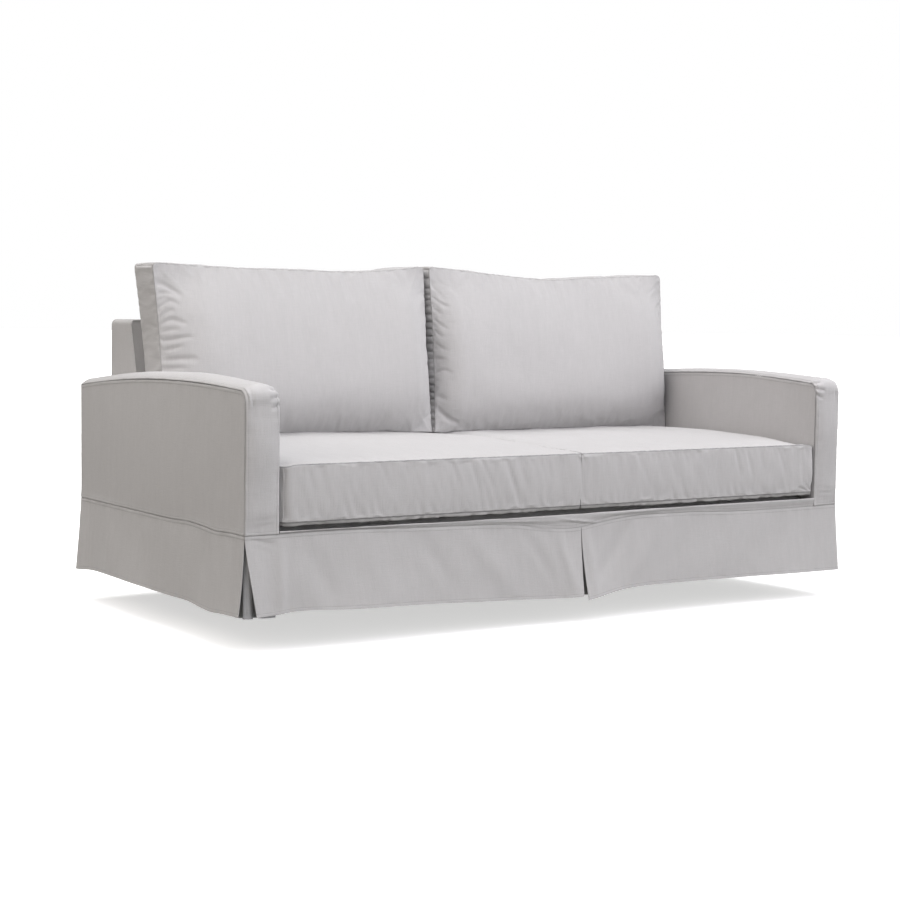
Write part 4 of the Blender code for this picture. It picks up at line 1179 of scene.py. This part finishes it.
def inflate(piece, pressure, most, reach):
    """Let the cushion's cloth settle: Blender's cloth, a little larger than the cushion,
    with air pressure inside and pinned seams, over a few frames; the result goes into the
    mesh.  No point moves by more than most.  The movement is evened out, and of the fine
    wrinkles that this takes off, a share is put back that fades with the distance from
    the seam: kept + (1 - kept) exp(-(distance / reach) squared)."""
    mesh = piece.data
    count = len(mesh.vertices)
    start, moved, sewn = (np.zeros(count * 3, dtype=np.float32) for _ in range(3))
    mesh.vertices.foreach_get("co", start)
    mesh.attributes["sewn"].data.foreach_get("vector", sewn)
    seam = piece.vertex_groups.new(name="seam")
    away = sewn.reshape(-1, 3)[:, :1]
    seam.add(np.nonzero(away[:, 0] < SEAM_LINES[1] / 2)[0].tolist(), 1.0, "REPLACE")
    # firm, fine cotton: it resists stretching most, then shear, and bending least
    cloth = piece.modifiers.new("cloth", "CLOTH")
    settings = cloth.settings
    settings.quality = 2
    settings.mass = 0.3
    settings.tension_stiffness = settings.compression_stiffness = 20
    settings.shear_stiffness = 7
    settings.bending_stiffness = 0.6
    settings.use_pressure = True
    settings.uniform_pressure_force = pressure
    settings.shrink_min = settings.shrink_max = -EXTRA_CLOTH
    settings.vertex_group_mass = "seam"
    settings.effector_weights.gravity = 0.0
    cloth.collision_settings.use_collision = False
    cloth.collision_settings.use_self_collision = False
    cloth.point_cache.frame_start, cloth.point_cache.frame_end = 1, SETTLE_FRAMES
    for number in range(1, SETTLE_FRAMES + 1):
        bpy.context.scene.frame_set(number)
    settled = piece.evaluated_get(bpy.context.evaluated_depsgraph_get())
    settled.data.vertices.foreach_get("co", moved)
    piece.modifiers.remove(cloth)
    piece.vertex_groups.remove(seam)
    bpy.context.scene.frame_set(1)
    start, moved = start.reshape(-1, 3), moved.reshape(-1, 3)
    step = moved - start
    length = np.linalg.norm(step, axis=1, keepdims=True)
    step *= np.minimum(1.0, most / np.maximum(length, 1e-9))
    edges = np.zeros(len(mesh.edges) * 2, dtype=np.int32)
    mesh.edges.foreach_get("vertices", edges)
    broad = evened(step.astype(float), edges.reshape(-1, 2), EVEN_ROUNDS)
    broad *= np.minimum(1.0, away / HELD_BESIDE)
    keep = WRINKLES_KEPT + (1 - WRINKLES_KEPT) * np.exp(-(away / reach) ** 2)
    step = broad + (step - broad) * keep
    mesh.vertices.foreach_set("co", (start + step).astype(np.float32).ravel())
    mesh.update()


def puckers(away, run, spacing, height, seed):
    """Short ridges square to a seam: two shoulders, the second wider and reaching further
    out, each times its own noise along the seam."""
    near = shoulder(away, spacing, height) * noise(run / spacing, away / 0.05, seed)
    far = shoulder(away, 2.5 * spacing, 0.8 * height) * noise(
        run / (2.2 * spacing), away / 0.07, seed + 1)
    return near + far


def gathers(away, run, spacing, reach, depth, seed, lean=0.0):
    """Creases that run from a seam into the cloth, about a spacing apart.  Each is a bell
    across its own line, starts at the seam, is deepest close to it and fades as
    (1 - away / its reach) squared; spacing, slant, width, reach and depth differ, the
    slant about lean."""
    rng = np.random.default_rng(seed)
    total = np.zeros(np.broadcast(away, run).shape)
    for middle in np.arange(run.min(), run.max(), spacing):
        middle += spacing * rng.uniform(-0.35, 0.35)
        slant = lean + rng.uniform(-0.25, 0.25)
        width = spacing * rng.uniform(0.15, 0.30)
        own_reach = reach * rng.uniform(0.30, 1.0)
        own_depth = depth * rng.uniform(0.25, 1.0)
        fade = np.clip(1 - away / own_reach, 0, 1) ** 2 * np.clip(away / 0.004, 0, 1)
        off = run - middle - slant * away
        total -= own_depth * fade * np.exp(-(off / (width * (1 + away / own_reach))) ** 2)
    return total


def round_corner(p, q, half_p, half_q, radius):
    """How far a rectangle's corner draws in to an arc, in p and in q.  With s and t going
    from 0 to 1 over the last radius before the two edges, the edge s = 1 draws in by
    radius (1 - cos(45 degrees t)) and the edge t = 1 by radius (s - sin(45 degrees s))."""
    s = np.clip((np.abs(p) - half_p + radius) / radius, 0, 1)
    t = np.clip((np.abs(q) - half_q + radius) / radius, 0, 1)
    share = s ** 8 / (s ** 8 + t ** 8 + 1e-12)
    eighth = math.pi / 4

    def drawn(s, t, share):
        """The draw of the edge s = 1, blended by share into that of the edge t = 1."""
        return radius * (share * s * (1 - np.cos(eighth * t))
                         + (1 - share) * t * (s - np.sin(eighth * s)))

    return drawn(s, t, share) * (t > 0), drawn(t, s, 1 - share) * (s > 0)


# Beside the cushions' seams: a shoulder is (width, height), puckers are (spacing, height)
# and gathers (spacing, reach, depth).
SEAT_UNEVEN = ((0.0016, 0.20, 0.22), (0.0005, 0.07, 0.06))
# the boxing's arch power, and how dark the painted shade along the seats' seams is
SEAT_STRIP_SWELL, SEAT_SEAM_SHADE = 2.4, 0.9
SEAT_SHOULDER, STRIP_SHOULDER = (0.004, 0.0012), (0.004, 0.0010)
SEAT_PUCKERS, SEAT_REAR_PUCKERS = (0.011, 0.00066), (0.013, 0.0006)
SEAT_GATHERS = (0.022, 0.035, 0.0012)
SEAT_STRIP_UPPER, SEAT_STRIP_LEAN = (0.012, 0.075, 0.0011), 0.30
SEAT_STRIP_LOWER = (0.020, 0.045, 0.0011)


def seat_top(a, b, swell, outer):
    """Height of a seat's top over its plan (a, b from -1 to 1): it rises to the back by a
    smooth step, swells by 1 - a squared, and falls to its seam at the edges by high powers
    of a and b, but less at the end that presses on the other seat.  outer is the sign of a
    at the free end."""
    share = smooth_step((b + 1) / 1.3)
    rise = SEAT_ROLL + (SEAT_RISE - SEAT_ROLL + swell * (1 - a ** 2)) * share
    fall = np.where(a * outer > 0, np.abs(a) ** 16, PRESSED_FALL * np.abs(a) ** 40)
    shut = np.where(b > 0, np.abs(b) ** 60, np.abs(b) ** 24)
    return SEAT_SEAM_TOP + rise * (1 - fall) * (1 - shut)


def seat_cushion(word, left, right, swell, outer, drags, seed):
    """Top: a plateau that rises to the back, rolling into the seam at its edges.  Foot:
    the same rim, rolled under by a superellipse and sunk to the deck further in."""
    half, half_depth = (right - left) / 2, (SEAT_BACK - SEAT_FRONT) / 2
    a = spread(2 * half, 0.006)[None, :] / half - 1
    b = spread(2 * half_depth, 0.0065)[:, None] / half_depth - 1
    in_x, in_y = round_corner(a * half, b * half_depth, half, half_depth,
                              SEAT_CORNER[outer])
    free_end = (a * outer > 0).astype(float)
    x = left + half + a * (half - np.where(free_end > 0, SEAT_SIDE_SWELL, PRESSED_IN))
    x = x - np.sign(a) * in_x * free_end
    y = SEAT_FRONT + half_depth + b * (half_depth - SEAT_SIDE_SWELL)
    y = y - np.sign(b) * in_y * free_end
    droop = SEAT_DROOP * smooth_step((a * outer - 0.9) / 0.1) * smooth_step(-b * 4)
    top = seat_top(a, b, swell, outer) - droop
    inside = np.minimum(half * (1 - np.abs(a)), half_depth * (1 - np.abs(b)))
    rolled = (1 - (1 - np.clip(inside / SEAT_FOOT_ROLL, 0, 1)) ** SEAT_FOOT_POWER) ** (
        1 / SEAT_FOOT_POWER)
    low = (SEAT_SEAM_LOW - (SEAT_SEAM_LOW - SEAT_SLIT) * rolled
           - (SEAT_SLIT - DECK_TOP - GAP) * smooth_step((inside - 0.035) / 0.03))
    face, rear = xyz(x, y, top), xyz(x, y, low)

    def relief(across, along, away, run, free):
        """A shoulder, puckers and short gathers at the seam, unevenness inside it."""
        soft = uneven(across, along, SEAT_UNEVEN, seed + 2)
        return (shoulder(away, *SEAT_SHOULDER) + puckers(away, run, *SEAT_PUCKERS, seed)
                + free * gathers(away, run, *SEAT_GATHERS, seed + 4)
                + soft * smooth_step(away / 0.04))

    def rear_relief(across, along, away, run, free):
        """Puckers beside the underside's seam only: further in it lies on the deck."""
        return puckers(away, run, *SEAT_REAR_PUCKERS, seed + 8) * (inside < 0.02)

    def strip_height(run, share, width, side):
        """An arch from seam to seam, the drag lines, upright ripples that lean with the
        run, and gathers from both seams."""
        away = np.minimum(share, 1 - share) * width
        drag = creases(run, share * width, drags)
        broad = 0.0013 * noise(run / 0.055 + 0.7 * share, share * 1.4, seed + 5)
        fine = 0.0008 * noise((run - 0.35 * share * width) / 0.013, share * 2.2, seed + 15)
        upper = gathers(share * width, run, *SEAT_STRIP_UPPER, seed + 6, SEAT_STRIP_LEAN)
        lower = gathers((1 - share) * width, run, *SEAT_STRIP_LOWER, seed + 9)
        return (SEAT_SIDE_SWELL * crown(share, SEAT_STRIP_SWELL)
                + shoulder(away, *STRIP_SHOULDER)
                + (drag + broad + fine) * smooth_step(away / 0.010) + upper + lower)

    return cushion_piece("seat_pillow_" + word, "seat_cushion_" + word, face, rear, relief,
                         rear_relief, strip_height, SEAT_SEAM_SHADE)


BACK_FOOT_B = 0.8          # of the seats' half depth, where the back cushions stand


def seat_level(x):
    """Height of the seats' top where the back cushions stand: each seat's seat_top at
    BACK_FOOT_B of its half depth, clear of its ends."""
    level = np.zeros(np.shape(x))
    for _, left, right, swell, outer, _, _ in SEATS:
        a = np.clip((x - left) / (right - left) * 2 - 1, -0.985, 0.985)
        own = seat_top(a, np.full_like(a, BACK_FOOT_B), swell, outer)
        level = np.where((x - MIDDLE) * outer >= 0, own, level)
    return level


def roll(distance, reach, power):
    """From 0 at a seam to 1 at reach, as 1 - (1 - distance / reach) to the power: the
    lower the power, the more evenly it rises."""
    return 1 - (1 - np.clip(distance / reach, 0, 1)) ** power


BACK_SHOULDER = (0.004, 0.0010)
BACK_PUCKERS, BACK_REAR_PUCKERS = (0.012, 0.0012), (0.012, 0.0010)
BACK_GATHERS, BACK_REAR_GATHERS = (0.017, 0.050, 0.0024), (0.021, 0.050, 0.0022)
BACK_STRIP_NEAR, BACK_STRIP_FAR = (0.018, 0.050, 0.0022), (0.020, 0.045, 0.0022)
BACK_UNEVEN = ((0.0026, 0.19, 0.16), (0.0007, 0.06, 0.05))
BACK_REAR_UNEVEN = ((0.0030, 0.19, 0.16),)
END_POWER, FOOT_POWER, TOP_POWER, REAR_ENDS = 2.3, 2.4, 2.0, (0.05, 0.05)
PULLS_DRAWN, PULL_WANDER = 1.25, ((0.010, 0.04, 0.09),)
# the boxing's arch power, and how dark the painted shade along the back cushions' seams is
BACK_STRIP_SWELL, BACK_SEAM_SHADE = 2.2, 0.45
LADDER_PITCH, LADDER_REACH, LADDER_SWELL = 0.022, 0.070, 0.6


def back_cushion(word, left, right, splay_left, splay_right, tops, rolls, pulls, step,
                 ladder, seed):
    """Face and rear: upright grids that lean, their feet on the seat, their upper edges
    from the table.  The face swells forwards and rolls back to its seams over the reaches
    in rolls (left, right, foot, top), by the product of the four rolls; the rear swells
    backwards."""
    half = (right - left) / 2
    tall = BACK_TALL
    a = spread(2 * half, 0.006)[None, :] / half - 1
    share = spread(tall, step)[:, None] / tall
    c = 2 * share - 1
    in_x, in_z = round_corner(a * half, c * tall / 2, half, tall / 2, BACK_CORNER_ROUND)
    table_x = np.linspace(left, right, len(tops))
    from_left, from_right = (a + 1) * half, (1 - a) * half
    sheets = []
    for b in (-1.0, 1.0):
        drawn_in = BACK_DRAWN_IN * (1 - c ** 2) * np.abs(a)
        x = left + half + a * (half - SEAT_SIDE_SWELL - drawn_in)
        foot = seat_level(x) + 2 * GAP
        top = smooth_table(x, table_x, tops)
        z = foot + (top - foot) * share
        z, x = z - in_z * (c > 0), x - np.sign(a) * in_x * (c > 0)
        front = BACK_FOOT_Y + BACK_LEAN * (z - foot)
        thick = BACK_THICK_FOOT + (BACK_THICK_TOP - BACK_THICK_FOOT) * share
        ends = rolls[:2] if b < 0 else REAR_ENDS
        open_face = (roll(from_left, ends[0], END_POWER) * roll(from_right, ends[1], END_POWER)
                     * roll(share * tall, rolls[2], FOOT_POWER)
                     * roll((1 - share) * tall, rolls[3], TOP_POWER))
        swell = BACK_BELLY * open_face + BACK_PLUMP * (1 - a ** 2) * (1 - c ** 2)
        y = front - swell if b < 0 else front + thick + BACK_REAR * open_face
        splay = splay_left + (splay_right - splay_left) * (a + 1) / 2
        sheets.append(xyz(x + splay * share, y, z))

    def relief(across, along, away, run, free):
        """A shoulder, puckers and gathers at the seams, half as deep at the foot, the
        pulled creases on wandering lines, and unevenness inside."""
        soft = uneven(across, along, BACK_UNEVEN, seed + 2)
        wander = along + uneven(across, along, PULL_WANDER, seed + 6)
        pull = PULLS_DRAWN * creases(across, wander, pulls)
        fewer = np.where(run < SIDE_RUN, 0.5, 1.0)
        return (shoulder(away, *BACK_SHOULDER) + puckers(away, run, *BACK_PUCKERS, seed)
                + fewer * free * gathers(away, run, *BACK_GATHERS, seed + 4)
                + pull * smooth_step(away / 0.004) + soft * smooth_step(away / 0.05))

    def rear_relief(across, along, away, run, free):
        """The same without the pulls."""
        soft = uneven(across, along, BACK_REAR_UNEVEN, seed + 32)
        return (shoulder(away, *BACK_SHOULDER)
                + puckers(away, run, *BACK_REAR_PUCKERS, seed + 30)
                + free * gathers(away, run, *BACK_REAR_GATHERS, seed + 34)
                + soft * smooth_step(away / 0.05))

    def strip_height(run, share, width, side):
        """An arch from seam to seam, gathers from both, and at the left end a ladder of
        troughs: high powers of a cosine of the run, over a half sine from the seam."""
        away = np.minimum(share, 1 - share) * width
        near_face = gathers(share * width, run, *BACK_STRIP_NEAR, seed + 6)
        near_rear = gathers((1 - share) * width, run, *BACK_STRIP_FAR, seed + 8)
        place_on_run = run / LADDER_PITCH + 0.35 * noise(run / 0.05, 0.0, seed + 9)
        trough = np.cos(math.pi * place_on_run) ** 8
        deep = 1.0 + 0.4 * noise(run / 0.03, 0.0, seed + 10)
        fade = smooth_step(share * width / 0.004) * np.clip(
            1 - share * width / LADDER_REACH, 0, 1)
        stands = LADDER_SWELL * np.sin(math.pi * np.clip(share * width / 0.040, 0, 1))
        gathered = ladder * (side == 3) * (stands - fade * trough * deep)
        return (SEAT_SIDE_SWELL * crown(share, BACK_STRIP_SWELL)
                + shoulder(away, *STRIP_SHOULDER)
                + near_face + near_rear + gathered
                + 0.0012 * noise(run / 0.07, share * 1.3, seed + 5) * smooth_step(away / 0.02))

    return cushion_piece("back_pillow_" + word, "back_cushion_" + word, sheets[0], sheets[1],
                         relief, rear_relief, strip_height, BACK_SEAM_SHADE)


# ---------------------------------------------------------------- the whole cover
for side, word, seed in ((-1, "left", 100), (1, "right", 200)):
    arm_outer(side, word, seed)
    arm_inner(side, word, seed + 20)
    arm_band(side, word, seed + 40)
    side_skirt(side, word, SIDE_FOLDS, seed + 60)
    corner_underlay(side, False, "front_" + word, seed + 70)
    corner_underlay(side, True, "back_" + word, seed + 80)
back_outside(300)
back_band(320)
back_inside(340)
deck(360)
front_rail(380)
front_skirt("left", -HALF, PLEAT_X - GAP, PLEAT_OPEN_LEFT, 0.0, 0.0,
            LEFT_FOLDS, 400)
front_skirt("right", PLEAT_X + GAP, HALF, PLEAT_OPEN_CENTRE, PLEAT_OPEN_RIGHT, PLEAT_DIP,
            RIGHT_FOLDS, 420)
back_skirt(BACK_FOLDS, 440)
centre_underlay(460)
for row in SEATS:
    inflate(seat_cushion(*row), *SEAT_SETTLING)
for row in BACKS:
    inflate(back_cushion(*row), *BACK_SETTLING)


# ---------------------------------------------------------------- studio
FLOOR_REACH, FLOOR_COLOUR, FLOOR_ROUGHNESS, FLOOR_GLOW = 60.0, (0.90, 0.90, 0.90), 0.8, 0.55
AMBIENT = 0.115
AMBIENT_COLOUR = (1.0, 1.0, 0.85, 1.0)
# Suns: direction to the light, strength, colour and the angle it is spread over.
OVERHEAD = ((0.0, 0.0, 1.0), 2.78, (1.0, 1.0, 1.01), 70)
RIGHT_FRONT = ((0.7, -1.0, 0.3), 2.48, (0.99, 0.98, 1.0), 70)
LEFT_SIDE = ((-1.0, -0.2, 0.4), 1.18, (1.06, 0.97, 0.93), 70)
# Lamps: place, the point they face, width, height, power and colour.
FRONT_PANEL = ((0.6, -1.9, 1.9), (0.1, -0.3, 0.3), 3.5, 1.2, 20.0, (0.95, 0.92, 1.08))
LEFT_PANEL = ((-2.6, -0.1, 1.3), (-0.96, 0.0, 0.1), 2.0, 1.0, 9.5, (1.0, 0.97, 0.95))
# The camera's place from the front's middle on the floor, its angles in degrees and lens.
CAMERA_SPOT = np.array((-2.8637, -3.7018, 0.8049))
CAMERA_YAW, CAMERA_PITCH, CAMERA_ROLL, LENS = -33.74, 4.334, 0.8276, 71.84


def plain_material(name, colour, roughness, glow):
    """One even colour with a glow of its own."""
    material = bpy.data.materials.new(name)
    material.use_nodes = True
    shader = material.node_tree.nodes["Principled BSDF"]
    shader.inputs["Base Color"].default_value = (*colour, 1.0)
    shader.inputs["Roughness"].default_value = roughness
    shader.inputs["Specular IOR Level"].default_value = 0.2
    shader.inputs["Emission Color"].default_value = (1.0, 1.0, 1.0, 1.0)
    shader.inputs["Emission Strength"].default_value = glow
    return material


def studio_floor():
    """A pale square, FLOOR_REACH to each side, that glows up to the background's white and
    doesn't colour the cloth."""
    mesh = bpy.data.meshes.new("studio_floor")
    corners = np.array(((-1, -1), (1, -1), (1, 1), (-1, 1))) * FLOOR_REACH
    mesh.from_pydata([(x, y, FLOOR) for x, y in corners], [], [(0, 1, 2, 3)])
    mesh.materials.append(plain_material("pale_floor", FLOOR_COLOUR, FLOOR_ROUGHNESS,
                                         FLOOR_GLOW))
    floor = bpy.data.objects.new("studio_floor", mesh)
    bpy.context.scene.collection.objects.link(floor)
    floor.visible_diffuse = False


def studio_world():
    """White to the eye, dimmer as a light."""
    world = bpy.data.worlds.new("studio")
    bpy.context.scene.world = world
    world.use_nodes = True
    tree = world.node_tree
    tree.nodes.clear()
    out = tree.nodes.new("ShaderNodeOutputWorld")
    seen, lit = tree.nodes.new("ShaderNodeBackground"), tree.nodes.new("ShaderNodeBackground")
    seen.inputs[0].default_value = (1, 1, 1, 1)
    seen.inputs[1].default_value = 1.0
    lit.inputs[0].default_value = AMBIENT_COLOUR
    lit.inputs[1].default_value = AMBIENT
    mix, path = tree.nodes.new("ShaderNodeMixShader"), tree.nodes.new("ShaderNodeLightPath")
    tree.links.new(path.outputs["Is Camera Ray"], mix.inputs[0])
    tree.links.new(lit.outputs[0], mix.inputs[1])
    tree.links.new(seen.outputs[0], mix.inputs[2])
    tree.links.new(mix.outputs[0], out.inputs[0])


def soft_sun(name, towards_light, strength, colour, spread_angle):
    """Parallel light from one direction, softened over spread_angle degrees."""
    data = bpy.data.lights.new(name, "SUN")
    data.energy = strength
    data.color = colour
    data.angle = math.radians(spread_angle)
    sun = bpy.data.objects.new(name, data)
    sun.rotation_mode = "QUATERNION"
    sun.rotation_quaternion = Vector(towards_light).to_track_quat("Z", "Y")
    bpy.context.scene.collection.objects.link(sun)


def panel_light(name, spot, target, across, tall, power, colour):
    """A rectangular lamp at spot that faces target."""
    data = bpy.data.lights.new(name, "AREA")
    data.shape = "RECTANGLE"
    data.size, data.size_y = across, tall
    data.energy = power
    data.color = colour
    lamp = bpy.data.objects.new(name, data)
    spot, target = Vector(spot), Vector(target)
    lamp.location = spot
    lamp.rotation_mode = "QUATERNION"
    lamp.rotation_quaternion = (spot - target).to_track_quat("Z", "Y")
    bpy.context.scene.collection.objects.link(lamp)


def studio_camera():
    """Camera fitted to the reference view: its back direction from yaw and pitch, then its
    sides turned by the roll."""
    yaw, pitch, tilt = (math.radians(v) for v in (CAMERA_YAW, CAMERA_PITCH, CAMERA_ROLL))
    back = np.array((math.sin(yaw) * math.cos(pitch), -math.cos(yaw) * math.cos(pitch),
                     math.sin(pitch)))
    right = np.cross(-back, (0, 0, 1))
    right /= np.linalg.norm(right)
    up = np.cross(right, -back)
    c, s = math.cos(tilt), math.sin(tilt)
    x_axis, y_axis = c * right + s * up, -s * right + c * up
    data = bpy.data.cameras.new("view")
    data.lens = LENS
    data.sensor_width = 36.0
    camera = bpy.data.objects.new("view", data)
    turn = np.eye(4)
    turn[:3] = np.stack((x_axis, y_axis, back, place(CAMERA_SPOT)), axis=1)
    camera.matrix_world = Matrix(turn.tolist())
    bpy.context.scene.collection.objects.link(camera)
    bpy.context.scene.camera = camera


studio_floor()
studio_world()
soft_sun("overhead", *OVERHEAD)
soft_sun("right_front", *RIGHT_FRONT)
soft_sun("left_side", *LEFT_SIDE)
panel_light("front_panel", *FRONT_PANEL)
panel_light("left_panel", *LEFT_PANEL)
studio_camera()
bpy.context.scene.view_settings.view_transform = "Standard"
